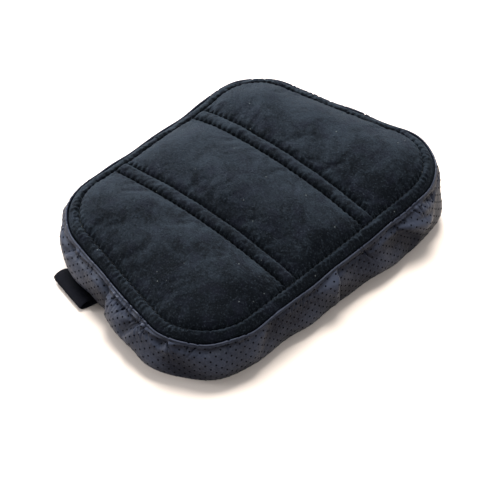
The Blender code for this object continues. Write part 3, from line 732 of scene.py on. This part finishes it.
def with_underside(points):
    """Rings of a top piece, each closed by two points below the quilting level."""
    under = points[:, [-1, 0]].copy()
    under[..., 2] = quilt_z(under[..., 0], under[..., 1]) - UNDERSIDE
    return np.concatenate([points, under], 1)


def make_panel(label, finish):
    """One puffed suede panel, closed underneath."""
    x, y = panel_grid(label, 190, 84 if label == "middle" else 92)
    points = stacked(x, y, quilt_z(x, y) + panel_height(label, x, y))
    moved = simulate_panel(label, finish)
    across, along = (cubic_weights(moved.shape[k], points.shape[k]) for k in (0, 1))
    points = points + np.einsum("ai,ijk,bj->abk", across, moved, along)
    piece = loft(f"suede_panel_{label}", with_underside(points), finish)
    enter(piece, "suede", f"panel_{label}", padding=0.7)


def make_channel(label, side, finish):
    """A raised strip between two panels, pinched by the stitches along both its edges."""
    x = np.linspace(-PANEL_REACH, PANEL_REACH, 221)[:, None]
    half = (CHANNEL_OUTER - CHANNEL_INNER) / 2 - GAP
    centre = side * (CHANNEL_OUTER + CHANNEL_INNER) / 2
    t = np.sin(np.linspace(-math.pi / 2, math.pi / 2, 25))[None, :]
    low_seed, high_seed = (31, 33) if side < 0 else (32, 31)
    tight = 1 - np.where(t < 0, scallop(x, low_seed), scallop(x, high_seed))
    tight = tight * np.abs(t) ** 3
    y = centre + half * t * (1 - 0.16 * tight) + 0.0002 * waves([x], 5 + side, 0.05, 0.02, 6)
    dome = np.sqrt(np.clip(1 - np.abs(t) ** 2.4, 0, 1))
    plump = 1 + 0.10 * waves([x], 8 + side, 0.06, 0.018, 8)
    height = (CHANNEL_HEIGHT * plump - 0.0010 * tight) * quarter_round((PANEL_REACH - np.abs(x)) / 0.0035)
    height = (height + 0.00014 * waves([x, y], 77 + side, 0.010, 0.003, 14)) * dome
    points = stacked(x, y, quilt_z(x, y) + height)
    piece = loft(f"suede_channel_{label}", with_underside(points), finish)
    enter(piece, "suede", f"channel_strip_{label}", padding=0.8)


def make_band(finish):
    """The rounded band round the top: stitched down inside, rolled over the seam outside."""
    s = np.linspace(-HALF_OUTLINE, HALF_OUTLINE, 1301)[:-1][:, None]
    plan, normal = seam_path(s[:, 0])
    t = (1 - np.cos(np.linspace(0, math.pi, 21)))[None, :] / 2
    inner_s, _ = seam_coords(plan[:, 0], plan[:, 1], -BAND_WIDTH)
    tight = 1 - scallop(inner_s, 51)[:, None]
    inner, outer = -BAND_WIDTH + GAP, -0.0007
    offset = inner + (outer - inner) * t + PINCH_DEPTH * tight * (1 - t) ** 6
    plump = 1 + 0.13 * waves([s], 52, 0.06, 0.016, 9)
    dome = np.clip(np.sin(math.pi * np.clip(0.02 + 0.98 * t, 0, 1)), 0, 1) ** 0.55
    puff = BAND_HEIGHT * plump - 0.0007 * tight * np.exp(-t / 0.15)
    puff = puff - 0.0005 * (1 - scallop(s, 54)) * np.exp(-(1 - t) / 0.20)
    puff = puff + 0.00026 * waves([s, t * BAND_WIDTH], 53, 0.009, 0.003, 14)
    rise = STITCH_RISE * (1 - t) + puff * dome
    flange = np.array([(-0.0006, -0.0010), (-0.0006, -0.0022), (0.0009, -0.0026), (0.0009, -0.0031),
                       (-0.0020, -0.0026), (-BAND_WIDTH + 0.0002, 0.0012)])
    offset = np.concatenate([offset, np.broadcast_to(flange[:, 0], (len(s), 6))], 1)
    rise = np.concatenate([rise, np.broadcast_to(flange[:, 1], (len(s), 6))], 1)
    rings = raised_to(plan[:, None] + normal[:, None] * offset[..., None],
                      seam_z(plan[:, 0], plan[:, 1])[:, None] + rise)
    piece = loft("suede_edge_band", rings, finish, closed=True)
    enter(piece, "suede", "edge_band", padding=0.8)


# ======== leather sides
def bulge_change(s):
    """How much more (or less) than the CAD the wall stands out along the seam."""
    return sum(rise * bell((s - centre) / reach) for centre, reach, rise in SWELLS)


def seam_tops(s):
    """Heights of the leather's slightly wavy upper edge at each s, as a column."""
    plan, _ = seam_path(s)
    drift = 0.0006 * np.clip(waves([s], 95, 0.070, 0.026, 8), -1.6, 1.6) - 0.0002
    return (seam_z(plan[:, 0], plan[:, 1]) + drift)[:, None]


def upper_wall(s, inset, first, last, rows):
    """(offset, height) grid on the wall's upper quarter ellipse, between two angles from the seam."""
    a = first + (last - first) * np.linspace(0, 1, rows + 1)[None, :]
    top = seam_tops(s) - inset
    reach = BULGE - inset + bulge_change(s)[:, None]
    return reach * np.sin(a), BULGE_HEIGHT + (top - BULGE_HEIGHT) * np.cos(a)


def lower_wall(s, inset, first, last, rows):
    """(offset, height) grid on the lower quarter ellipse, between two angles from the widest line."""
    b = first + (last - first) * np.linspace(0, 1, rows + 1)[None, :]
    reach = BULGE + WALL_TUCK - inset + bulge_change(s)[:, None]
    depth = BULGE_HEIGHT - WALL_BOTTOM - inset
    return -WALL_TUCK + reach * np.cos(b), BULGE_HEIGHT - depth * np.sin(b) + 0 * reach


def joined(*grids):
    """(offset, height) grids side by side."""
    return np.concatenate([g[0] for g in grids], 1), np.concatenate([g[1] for g in grids], 1)


def whole_wall(s, inset, first, top_rows, bottom_rows):
    """(offset, height) grid down the whole wall."""
    upper = upper_wall(s, inset, first, math.pi / 2, top_rows)
    lower = lower_wall(s, inset, 0.0, math.pi / 2, bottom_rows)
    return joined(upper, (lower[0][:, 1:], lower[1][:, 1:]))


def place_section(s, offset, height):
    """World points of a section grid, with the rim pressed up over the strap."""
    plan, normal = seam_path(s)
    spots = plan[:, None] + normal[:, None] * offset[..., None]
    return raised_to(spots, lifted(spots[..., 0], spots[..., 1], height))


def on_wall(x, y, z):
    """(s, height) of a spot on the side wall."""
    return float(seam_coords(np.array(x), np.array(y))[0]), z


def fold(s, z, first, last, depth, width, ridge, side, fade=0.25):
    """A crease between two spots (s, z) of the wall: a valley, a ridge on one side, fading at both ends."""
    ds, dz = last[0] - first[0], last[1] - first[1]
    length = math.hypot(ds, dz)
    share = ((s - first[0]) * ds + (z - first[1]) * dz) / length ** 2
    away = side * ((s - first[0]) * dz - (z - first[1]) * ds) / length
    strength = smooth((share + fade) / fade) * smooth((1 + fade - share) / fade)
    valley = np.where(away > 0, bell(away / (0.55 * width)), bell(away / (1.9 * width)))
    return (ridge * bell((away - 1.5 * width) / (1.1 * width)) - depth * valley) * strength


def pleat(s, z, line, hollow, spread, roll, side):
    """An upright pleat along line (low to high): the wall sinks on one side and rolls over it."""
    places, heights = zip(*line)
    away = side * (s - np.interp(z, heights, places))
    upright = smooth((heights[-1] + 0.004 - z) / 0.008)
    sunk = -hollow * np.exp(-np.abs(away) / spread)
    rolled = roll * np.exp(-np.abs(away) / 0.0040) - 1.2 * hollow * np.exp(-np.abs(away) / 0.0007)
    return upright * np.where(away > 0, sunk, rolled)


FOLDS = (  # from, to, depth, width, ridge, side that the ridge is on
    ((-0.0540, 0.0400), (-0.0720, 0.0150), 0.0013, 0.0060, 0.0010, 1),
    ((0.0430, 0.0420), (0.0660, 0.0180), 0.0020, 0.0062, 0.0012, -1),
    ((0.0420, 0.0415), (0.0780, 0.0310), 0.0016, 0.0034, 0.0009, 1),
    ((0.0700, 0.0455), (0.0860, 0.0360), 0.0014, 0.0030, 0.0007, 1),
    (on_wall(0.027, -0.117, 0.038), on_wall(0.016, -0.116, 0.019), 0.0020, 0.0030, 0.0008, -1),
    (on_wall(0.052, -0.121, 0.0425), on_wall(0.046, -0.121, 0.030), 0.0018, 0.0026, 0.0008, -1),
    (on_wall(-0.047, -0.101, 0.038), on_wall(-0.055, -0.100, 0.027), 0.0014, 0.0018, 0.0008, -1),
)
PLEAT = (on_wall(-0.0126, -0.1099, 0.0020), on_wall(-0.0068, -0.1132, 0.0220),
         on_wall(-0.0108, -0.1077, 0.0385))


def wall_folds(s, z):
    """The larger creases of the leather, where the stuffing pulls it."""
    return sum(fold(s, z, *each) for each in FOLDS) + pleat(s, z, PLEAT, 0.0024, 0.0090, 0.0012, -1)


def wall_join(s, z):
    """The near gusset rolls over the join on the wide side, and the far one dips in beside it."""
    away = s - JOIN_Y
    upright = smooth((z - 0.004) / 0.010) * smooth((0.043 - z) / 0.006)
    hollow = -0.0026 * np.exp(-np.abs(away) / 0.0100) * (away > 0)
    roll = 0.0010 * bell((away + 0.0034) / 0.0032) - 0.0013 * np.exp(-np.abs(away) / 0.0006)
    return upright * np.where(away > 0, hollow, roll)


def puckers(s, below):
    """Short sharp creases where the leather is gathered under its folded edge."""
    rng = np.random.default_rng(96)
    relief = np.zeros(s.shape)
    for centre, reach, count in PUCKERED:
        for _ in range(count):
            away = s - centre - reach * rng.uniform(-1, 1) - rng.uniform(-0.7, 0.7) * below
            length = rng.uniform(0.003, 0.010)
            deep = rng.uniform(0.3, 1.0) * PUCKER_DEPTH * bell(below / length)
            relief = relief + deep * (0.35 * bell(away / 0.0026) - 1.2 * bell(away / 0.00060))
    return relief


def wall_relief(s, z, below):
    """Soft lumps and larger folds of the leather, none beside the zip slot. below starts at the seam."""
    lively = 0.40 + sum(gain * bell((s - centre) / reach) for centre, reach, gain in LIVELY)
    drift = waves([s + 0.45 * below, 0.4 * below], 93, 0.026, 0.011, 10)
    relief = 0.00110 * drift * lively * np.exp(-below / 0.014)
    relief = relief - 0.0011 * bell((below - 0.0036) / 0.0026)
    lumps = waves([s, z], 94, 0.055, 0.022, 10)
    relief = relief + 0.0013 * lumps * smooth(below / 0.006) * smooth(z / 0.012)
    beside_zip = smooth((np.abs(s) - HALF_OUTLINE + ZIP_HALF_LENGTH + 0.008) / 0.008)
    over_slot = smooth((np.abs(z - BULGE_HEIGHT) - ZIP_SLOT_HALF - 0.0010) / 0.0070)
    return (relief + wall_folds(s, z) + wall_join(s, z)) * (1 - beside_zip * (1 - over_slot))


def bend_join(points):
    """Let the join on the wide side lean back at mid height instead of standing upright."""
    y, z = points[..., 1], points[..., 2]
    near = np.exp(-np.abs(y - JOIN_Y) / 0.015) * (points[..., 0] > 0.9 * HALF_WIDTH)
    shift = -0.0036 * bell((z - 0.026) / 0.009) + 0.0022 * smooth((0.014 - z) / 0.010)
    return np.stack([points[..., 0], y + shift * near, z], -1)


def lip_rows():
    """(offset, rise) of the folded leather edge that stands up beside the band."""
    turn = np.linspace(math.pi, -0.15 * math.pi, 9)
    bead = [(0.00100 + 0.00062 * math.cos(a), -0.00005 + 0.00066 * math.sin(a)) for a in turn]
    return [(0.00030, -0.0024), (0.00033, -0.0012)] + bead + [(0.0019, -0.00105)]


def lip_grid(s):
    """(offset, height) grid of the folded edge along the seam."""
    lip = np.array(lip_rows())
    return np.broadcast_to(lip[:, 0], (len(s), len(lip))), seam_tops(s) + lip[:, 1]


def wall_normals(s, grid):
    """Unit normals of a wall grid, pointing out."""
    normal = surface_normals(grid)
    return normal if (normal[:, -8, :2] * seam_path(s)[1]).sum() > 0 else -normal


def leather_shell(node, s, outer_grid, inner_grid, lip_count, finish):
    """A leather piece as a closed shell, its outer face puckered below the lip, with UVs in metres, and a
    relief value that the leather material turns into painted shade and highlight.
    """
    label = node.replace("zip_gusset", "zip")
    outer = place_section(s, *outer_grid)
    steps = np.linalg.norm(np.diff(outer, axis=1, prepend=outer[:, :1]), axis=-1)
    down = np.cumsum(steps, 1)
    below = np.maximum(down - down[:, lip_count:lip_count + 1], 0)
    grid_s = np.broadcast_to(s[:, None], down.shape)
    relief = (wall_relief(grid_s, outer[..., 2], below) + puckers(grid_s, below)) * smooth(below / 0.002)
    outer = outer + wall_normals(s, outer) * relief[..., None]
    edge = 0.5 * puckers(grid_s, 0 * below) * (1 - smooth((below - 0.0005) / 0.0015))
    outer = bend_join(outer + edge[..., None] * [0, 0, 1])
    # The relief value stored here only colours the leather. Its dips paint shade in the creases, and
    # EDGE_SHADE paints shade along the folded edge.
    relief = relief + np.minimum(edge, 0) - EDGE_SHADE * (below <= 0)
    inner = place_section(s, *inner_grid)
    reach = np.cumsum(np.linalg.norm(np.diff(inner, axis=1, prepend=inner[:, :1]), axis=-1), 1)
    sunk = np.minimum(wall_relief(np.broadcast_to(s[:, None], reach.shape), inner[..., 2], reach), 0.0)
    sunk = sunk - PUCKER_DEPTH * np.exp(-reach / 0.010)
    inner = bend_join(inner + wall_normals(s, inner) * sunk[..., None])[:, ::-1]
    drop = np.concatenate([down, np.full(reach.shape, 2 * LEATHER)], 1)
    raised = np.concatenate([relief, 0 * reach], 1)
    piece = loft(f"leather_{label}", np.concatenate([outer, inner], 1), finish[0],
                 uv=stacked(s[:, None], drop), relief=raised)
    enter(piece, "leatherette", node)
    punch(f"hole_shade_discs_{label}", s, down, outer, lip_count + 2, finish[1])


def punch(name, s, down, outer, first_row, finish):
    """The perforations: thin discs of painted shade, a little proud of the leather, on a lattice turned 45
    degrees.
    """
    pitch = HOLE_PITCH / math.sqrt(2)
    first, last = math.ceil(s.min() / (2 * pitch)), math.floor(s.max() / (2 * pitch))
    surface = np.concatenate([outer, wall_normals(s, outer)], -1)
    order = np.argsort(s)
    levels = np.arange(down.shape[1])
    spots = []
    for row in range(int(down.max() / pitch) + 1):
        along = np.arange(first, last + 1) * 2 * pitch + (row % 2) * pitch
        along = along[(along > s.min() + HOLE_MARGIN) & (along < s.max() - HOLE_MARGIN)]
        column = np.interp(along, s[order], order)
        k = np.clip(column.astype(int), 0, len(s) - 2)
        for i, part in zip(k, column - k):
            level = np.interp(row * pitch + HOLE_START, down[i], levels, left=-1, right=-1)
            if first_row <= level <= levels[-1] - 1:
                j = int(level)
                weights = np.outer([1 - part, part], [1 - level + j, level - j])
                spots.append(np.tensordot(weights, surface[i:i + 2, j:j + 2], 2))
    centres, ups = np.split(np.array(spots), 2, axis=1)
    ups = unit(ups)
    side = unit(np.cross(ups, [0.0, 0.0, 1.0]))
    around = circle(side, np.cross(ups, side), 10)
    rims = ((1.12, -0.00003), (1.0, 0.00013), (0.72, 0.00009))  # radius share and height over the leather
    rings = [centres[:, None] + around * HOLE_RADIUS * grow + ups[:, None] * lift for grow, lift in rims]
    index = np.arange(len(centres) * 30).reshape(-1, 3, 10)
    faces = ring_quads(index) + index[:, 2].tolist() + index[:, 0, ::-1].tolist()
    piece = add_mesh(name, np.stack(rings, 1), faces, finish, sharp=80)
    face_outward(piece)
    enter(piece, "leatherette")


def make_gusset(label, side, finish):
    """One perforated leather side, from the join on the wide side to the zip end on the narrow side."""
    s = np.linspace(JOIN_Y + side * GAP, side * (HALF_OUTLINE - ZIP_HALF_LENGTH - GAP), 560)
    lip = lip_grid(s)
    outer = joined(lip, whole_wall(s, 0.0, OUTER_START, 40, 26))
    inner = whole_wall(s, LEATHER, INNER_START, 10, 8)
    leather_shell(f"gusset_{label}", s, outer, inner, lip[0].shape[1] - 1, finish)


def make_zip_gussets(finish):
    """The strips above and below the zip on the narrow side, each turned in at the slot."""
    s = np.linspace(HALF_OUTLINE - ZIP_HALF_LENGTH, HALF_OUTLINE + ZIP_HALF_LENGTH, 130)
    top, flat = seam_tops(s), np.zeros((len(s), 1))
    upper, lower = [], []
    for inset, first, upper_rows, lower_rows in ((0.0, OUTER_START, 26, 20), (LEATHER, INNER_START, 8, 8)):
        edge = ZIP_SLOT_HALF + inset
        stop = np.arccos(edge / (top - inset - BULGE_HEIGHT))
        start = math.asin(edge / (BULGE_HEIGHT - WALL_BOTTOM - inset))
        upper.append(joined(upper_wall(s, inset, first, stop, upper_rows),
                            (flat + ZIP_TURN_IN, flat + BULGE_HEIGHT + edge)))
        lower.append(joined((flat + ZIP_TURN_IN, flat + BULGE_HEIGHT - edge),
                            lower_wall(s, inset, start, math.pi / 2, lower_rows)))
    lip = lip_grid(s)
    leather_shell("zip_gusset_upper", s, joined(lip, upper[0]), upper[1], lip[0].shape[1] - 1, finish)
    leather_shell("zip_gusset_lower", s, *lower, 0, finish)


# ======== inside and underneath
def rounded_slab(name, offsets, heights, finish):
    """A closed body of outline rings, each with (offset, share of the size) and a height or height rule."""
    s = np.linspace(-HALF_OUTLINE, HALF_OUTLINE, 401)[:-1]
    plan, normal = seam_path(s)
    behind_zip = 1 - smooth((np.abs(plan[:, 1]) - ZIP_HALF_LENGTH) / 0.012)
    pulled = np.where(plan[:, 0] < -0.99 * HALF_WIDTH, 0.0060 * behind_zip, 0.0)
    slack = np.minimum(bulge_change(s), 0.0)
    rings = []
    for (offset, share), height in zip(offsets, heights):
        spots = (plan + normal * (offset + slack - pulled)[:, None]) * share
        z = height(spots[:, 0], spots[:, 1]) if callable(height) else np.full(len(s), height)
        rings.append(raised_to(spots, z))
    return loft(name, np.array(rings), finish, sharp=35)


def foam_top(x, y):
    """Top of the foam, clear of the quilt backing, with the dents that the quilting presses in it."""
    dent = 0.0006 * bell((np.abs(y) - 0.0355) / 0.008)
    return np.minimum(quilt_z(x, y) - FOAM_DEPTH, seam_z(x, y) + CROWN) - dent


def make_inside(soft, firm, backing):
    """Foam layers and the thin fabric that the top is quilted to."""
    base = rounded_slab("foam_base", [(-0.0215, 1), (-0.0015, 1), (0.0002, 1), (0.0002, 1)],
                        [0.0048, 0.0150, 0.0172, 0.0196], firm)
    enter(base, "support_foam", "foam_base_layer", padding=1.0)
    shares = [1.0, 0.9, 0.8, 0.65, 0.5, 0.35, 0.2, 0.06]
    offsets = [(0.0002, 1), (0.0000, 1), (-0.0015, 1), (-0.0050, 1)]
    offsets += [(-0.0110, share) for share in shares]
    heights = [0.0202, 0.0280, 0.0325, lambda x, y: seam_z(x, y) - 0.0047] + [foam_top] * len(shares)
    comfort = rounded_slab("foam_comfort", offsets, heights, soft)
    enter(comfort, "memory_foam", "foam_comfort_layer", padding=0.9)
    rings = [(-BAND_WIDTH - 0.0004, share) for share in shares[::-1]]
    under = [lambda x, y: quilt_z(x, y) - BACKING_DEPTHS[0]] * len(rings)
    upper = [lambda x, y: quilt_z(x, y) - BACKING_DEPTHS[1]] * len(rings)
    cloth = rounded_slab("backing_cloth", rings + rings[::-1], under + upper, backing)
    enter(cloth, "backing", "quilt_backing")


def make_base(finish, thread):
    """The base cloth, pressed up along the strap, and the seam that holds it to the sides."""
    s = np.linspace(-HALF_OUTLINE, HALF_OUTLINE, 521)[:-1]
    rim, _ = seam_path(s, -WALL_TUCK - BASE_GAP)
    shares = np.concatenate([np.linspace(0.01, 0.97, 52), np.linspace(0.98, 1.0, 4)])[:, None]
    spots = rim[None] * shares[..., None]
    x, y = spots[..., 0], spots[..., 1]
    ripple = 0.00018 * waves([x, y], 71, 0.05, 0.012, 12) * (1 - shares ** 6)
    low = strap_lift(x, y) + BASE_GAP + np.abs(ripple)
    rings = np.concatenate([raised_to(spots, low), raised_to(spots, low + BASE_THICKNESS)[::-1]])
    piece = loft("base_cloth", rings, finish, uv=rings[..., :2])
    enter(piece, "base_cloth", "base_panel")
    row = np.arange(-HALF_OUTLINE, HALF_OUTLINE, STITCH)
    sew_row("base_seam_stitches", row, base_seam, (0, 0, -1), thread)


def base_seam(s):
    """Points on the stitch line just outside the base cloth."""
    plan, _ = seam_path(s, -WALL_TUCK + SEAM_OFFSET)
    return raised_to(plan, lifted(plan[:, 0], plan[:, 1], np.full(len(plan), WALL_BOTTOM + 0.0001)))


def sew_row(name, s, place, up, thread, length=0.0030, radius=0.00026, bow=0.00022):
    """A row of stitches: one short thread on the seam line for every position s."""
    piece = tubes(name, place(s - length / 2), place(s + length / 2), up, radius, thread, bow)
    enter(piece, "thread")


def make_quilting(thread):
    """The stitches along both edges of each channel and along the inner edge of the band."""
    reach = HALF_WIDTH - BAND_WIDTH - 0.002
    x = np.arange(-reach, reach, STITCH)
    for label, side in SIDES:
        for edge, line in (("inner", CHANNEL_INNER), ("outer", CHANNEL_OUTER)):
            def beside(at, y=side * line):
                return stacked(at, y, quilt_z(at, y) + THREAD_LIFT)
            sew_row(f"stitches_{label}_{edge}", x, beside, (0, 0, 1), thread)

    def around(at):
        plan, _ = seam_path(at, -BAND_WIDTH)
        return raised_to(plan, seam_z(plan[:, 0], plan[:, 1]) + STITCH_RISE + THREAD_LIFT)
    length = runs(-BAND_WIDTH).sum()
    sew_row("stitches_band", np.arange(-length, length, STITCH), around, (0, 0, 1), thread)


# ======== strap
def spline(points, count):
    """Evenly parametrised smooth curve through points (Catmull-Rom)."""
    points = np.asarray(points, dtype=float)
    padded = np.concatenate([[2 * points[0] - points[1]], points, [2 * points[-1] - points[-2]]])
    t = np.linspace(0, len(points) - 1, count)
    k = np.minimum(t.astype(int), len(points) - 2)
    f = (t - k)[:, None]
    a, b, c, d = (padded[k + j] for j in range(4))
    bend, twist = 2 * a - 5 * b + 4 * c - d, 3 * b - a - 3 * c + d
    return 0.5 * (2 * b + (c - a) * f + bend * f ** 2 + twist * f ** 3)


def distances(path):
    """Length along a path up to each of its points."""
    return np.concatenate([[0], np.cumsum(np.linalg.norm(np.diff(path, axis=0), axis=1))])


def even_spacing(path, step):
    """The path resampled at about equal steps."""
    lengths = distances(path)
    at = np.linspace(0, lengths[-1], max(2, int(lengths[-1] / step) + 1))
    return np.stack([np.interp(at, lengths, path[:, k]) for k in range(path.shape[1])], -1)


def strap_exit(side):
    """Where the strap's centre line crosses the seam outline on one short side, and the way out."""
    spot = np.array([STRAP_X, side * (MIDDLE_HALF + SLOPE * STRAP_X)])
    return spot, np.array([-SIN_T, side * COS_T])


def ribbon(name, centre, across, finish):
    """A flat woven strap with rounded edges along a centre line, with UVs in metres, and its length."""
    up = np.cross(unit(np.gradient(centre, axis=0)), across)
    half, thick = STRAP_WIDTH / 2, STRAP_THICKNESS / 2
    flat = np.linspace(-1, 1, 23)
    shoulder = np.clip(1 - np.abs(flat) ** 16, 0, 1) ** 0.5
    ridge = 1 + 0.05 * np.cos(flat * half / 0.0022 * 2 * math.pi)
    top = np.stack([flat * half, thick * np.maximum(shoulder, 0.25) * ridge], -1)
    section = np.concatenate([top, top[::-1] * [1, -1]])
    rings = centre[:, None] + across[:, None] * section[:, :1] + up[:, None] * section[:, 1:]
    lengths = distances(centre)
    uv = stacked(section[:, 0], lengths[:, None])
    return loft(name, rings, finish, uv=uv, sharp=70), float(lengths[-1])


def make_strap(finish, thread):
    """Elastic strap in two pieces, each with a tail and a slack loop. The near one includes the run."""
    section = even_spacing(spline(LOOP_TAIL + LOOP_FOLD, 300), 0.0005)
    for label, side in SIDES:
        spot, outward = strap_exit(side)
        across = np.array([COS_T, side * SIN_T, 0.0])
        centre = np.concatenate([spot + section[:, :1] * outward, section[:, 1:]], 1)
        widths = np.broadcast_to(across, centre.shape)
        replaced = [f"strap_loop_{label}", f"strap_tail_{label}"]
        if side < 0:
            angle = np.linspace(-TAPER, TAPER, 120)
            radial = stacked(np.cos(angle), np.sin(angle), 0.0)
            centre = np.concatenate([centre, STRAP_RADIUS * radial + [TAPER_CENTRE, 0, STRAP_LEVEL]])
            widths = np.concatenate([widths, radial])
            replaced.append("strap_run")
        piece, length = ribbon(f"elastic_strap_{label}", centre, widths, finish)
        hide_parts(*replaced)
        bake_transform(piece)
        make_tack(label, spot - outward * TACK_INSET, across, thread)


def make_tack(label, spot, across, thread):
    """Bar tack: tight cross threads over two long ones, on the underside of the strap's sewn-in end."""
    along = np.array([-across[1], across[0], 0.0])
    level, half_length, lean, row = 0.0021, 0.0011, 0.0002, np.array([-0.0006, 0.0006])

    def at(u, v, lift=0.0):
        return np.multiply.outer(u, across) + np.multiply.outer(v, along) + [*spot, level + lift]
    cross = np.linspace(-TACK_HALF, TACK_HALF, 50)
    end = np.full(2, TACK_HALF)
    starts = np.concatenate([at(cross - lean, -half_length), at(-end, row, 0.0001)])
    ends = np.concatenate([at(cross + lean, half_length), at(end, row, 0.0001)])
    piece = tubes(f"tack_threads_{label}", starts, ends, (0, 0, -1), 0.00030, thread, 0.0001)
    enter(piece, "thread", f"strap_tack_{label}")


# ======== zip
def make_zip(tape_finish, nylon, thread):
    """Woven tapes, interlocked coils and the threads that hold them, behind the slot of the narrow side."""
    for label, side in (("upper", 1), ("lower", -1)):
        low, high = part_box(f"zip_tape_{label}")
        y = np.linspace(low[1], high[1], 200)[:, None]
        z = np.linspace(low[2], high[2], 17)[None, :]
        rib = 0.00006 * np.cos((z - BULGE_HEIGHT) * 2 * math.pi / TAPE_RIB)
        front = stacked(low[0] + 0.0001 - rib, y, z)
        rings = np.concatenate([front, stacked(high[0], y, z)[:, ::-1]], 1)
        tape = loft(f"zip_tape_{label}_woven", rings, tape_finish, uv=rings[..., 1:])
        enter(tape, "zip_tape", f"zip_tape_{label}")
        count = int(2 * TEETH_HALF_LENGTH / COIL_PITCH)
        at = (np.arange(count) + 0.25 + 0.5 * (side > 0)) * COIL_PITCH - TEETH_HALF_LENGTH
        tip, root = (stacked(-HALF_WIDTH - 0.0006, at, BULGE_HEIGHT + side * reach)
                     for reach in (-0.0004, 0.0021))
        coil = tubes(f"zip_coil_{label}", tip, root, (-1, 0, 0), COIL_RADIUS, nylon, 0.00055)
        enter(coil, "zip_nylon", f"zip_teeth_{label}")
        row = np.arange(-TEETH_HALF_LENGTH + 0.002, TEETH_HALF_LENGTH, 0.0026)

        def place(p, z=BULGE_HEIGHT + side * 0.0031):
            return stacked(low[0], p, z)
        sew_row(f"zip_stitches_{label}", row, place, (-1, 0, 0), thread, 0.0019, 0.00020, 0.00012)


def refinish(frame, names, finish):
    """Give carried-over CAD nodes a detailed finish."""
    for name in names:
        node = frame["nodes"][name]
        node.data.materials.clear()
        node.data.materials.append(finish)


# ======== setting
def make_camera():
    """Long lens from above the near wide corner, the pad a little left of and above the frame's middle."""
    azimuth, elevation = math.radians(CAMERA_AZIMUTH), math.radians(CAMERA_ELEVATION)
    flat = math.cos(elevation)
    back = Vector((math.sin(azimuth) * flat, -math.cos(azimuth) * flat, math.sin(elevation)))
    data = bpy.data.cameras.new("camera")
    data.sensor_width = 36.0
    data.lens = CAMERA_LENS
    data.shift_x, data.shift_y = CAMERA_SHIFT
    data.clip_end = 20.0
    made = bpy.data.objects.new("camera", data)
    made.location = back * CAMERA_DISTANCE
    made.rotation_euler = back.to_track_quat("Z", "Y").to_euler()
    bpy.context.collection.objects.link(made)
    bpy.context.scene.camera = made


def add_light(name, place, size, power, colour):
    """A soft area light aimed at the pad."""
    data = bpy.data.lights.new(name, "AREA")
    data.shape = "DISK"
    data.size = size
    data.energy = power
    data.color = colour
    made = bpy.data.objects.new(name, data)
    made.location = place
    made.rotation_euler = Vector(place).to_track_quat("Z", "Y").to_euler()
    bpy.context.collection.objects.link(made)


def make_setting():
    """Pale floor, white surroundings and four soft lights, the strongest from behind on the narrow side."""
    corners = [(x * FLOOR_HALF, y * FLOOR_HALF, 0) for x, y in ((-1, -1), (1, -1), (1, 1), (-1, 1))]
    floor = add_mesh("floor", corners, [(0, 1, 2, 3)], floor_material())
    floor.location = (0, 0, FLOOR_LEVEL)
    world = bpy.data.worlds.new("surroundings")
    world.use_nodes = True
    background = world.node_tree.nodes["Background"].inputs
    background[0].default_value = SURROUNDINGS
    background[1].default_value = 0.80
    bpy.context.scene.world = world
    for light in LIGHTS:
        add_light(*light)
    bpy.context.scene.view_settings.view_transform = "Standard"


def main():
    """Load the frame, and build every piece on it."""
    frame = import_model()
    make_camera()
    make_setting()
    suede = suede_material()
    leather = leather_material()
    elastic = woven_material("elastic_woven", (0.0007, 0.0008, 0.0016), (0.0034, 0.0038, 0.0066),
                             (0.0011, 0.0009), 0.00025, rough=0.9, sheen=0.0)
    base = woven_material("base_weave", (0.004, 0.004, 0.005), (0.022, 0.022, 0.024),
                          (0.0008, 0.0008), 0.0002)
    tape = woven_material("zip_tape_weave", (0.003, 0.003, 0.003), (0.014, 0.014, 0.015),
                          (0.0007, 0.0005), 0.00015)
    backing = woven_material("backing_knit", (0.03, 0.03, 0.033), (0.08, 0.08, 0.085),
                             (0.0009, 0.0007), 0.0002)
    thread = thread_material("thread_black", (0.0010, 0.0012, 0.0018), (0.0045, 0.0055, 0.0075))
    soft = foam_material("memory_foam_cells", (0.62, 0.60, 0.53), (0.84, 0.82, 0.75), 0.0009)
    firm = foam_material("support_foam_cells", (0.27, 0.31, 0.37), (0.48, 0.52, 0.58), 0.0014)
    nylon = moulded_material("zip_nylon_coil", (0.008, 0.008, 0.009), (0.024, 0.024, 0.025), 0.36)
    metal = moulded_material("slider_metal_painted", (0.012, 0.012, 0.013), (0.060, 0.060, 0.062),
                             0.34, metallic=0.85)
    for label in ("near", "middle", "far"):
        make_panel(label, suede)
    for label, side in SIDES:
        make_channel(label, side, suede)
    make_band(suede)
    leather_finish = (leather, hole_shade_material())
    for label, side in SIDES:
        make_gusset(label, side, leather_finish)
    make_zip_gussets(leather_finish)
    make_inside(soft, firm, backing)
    make_base(base, thread)
    make_quilting(thread)
    make_strap(elastic, thread)
    make_zip(tape, nylon, thread)
    refinish(frame, ["zip_stop_top", "zip_stop_bottom"], nylon)
    refinish(frame, ["zip_slider_front", "zip_slider_back", "zip_pull"], metal)


main()
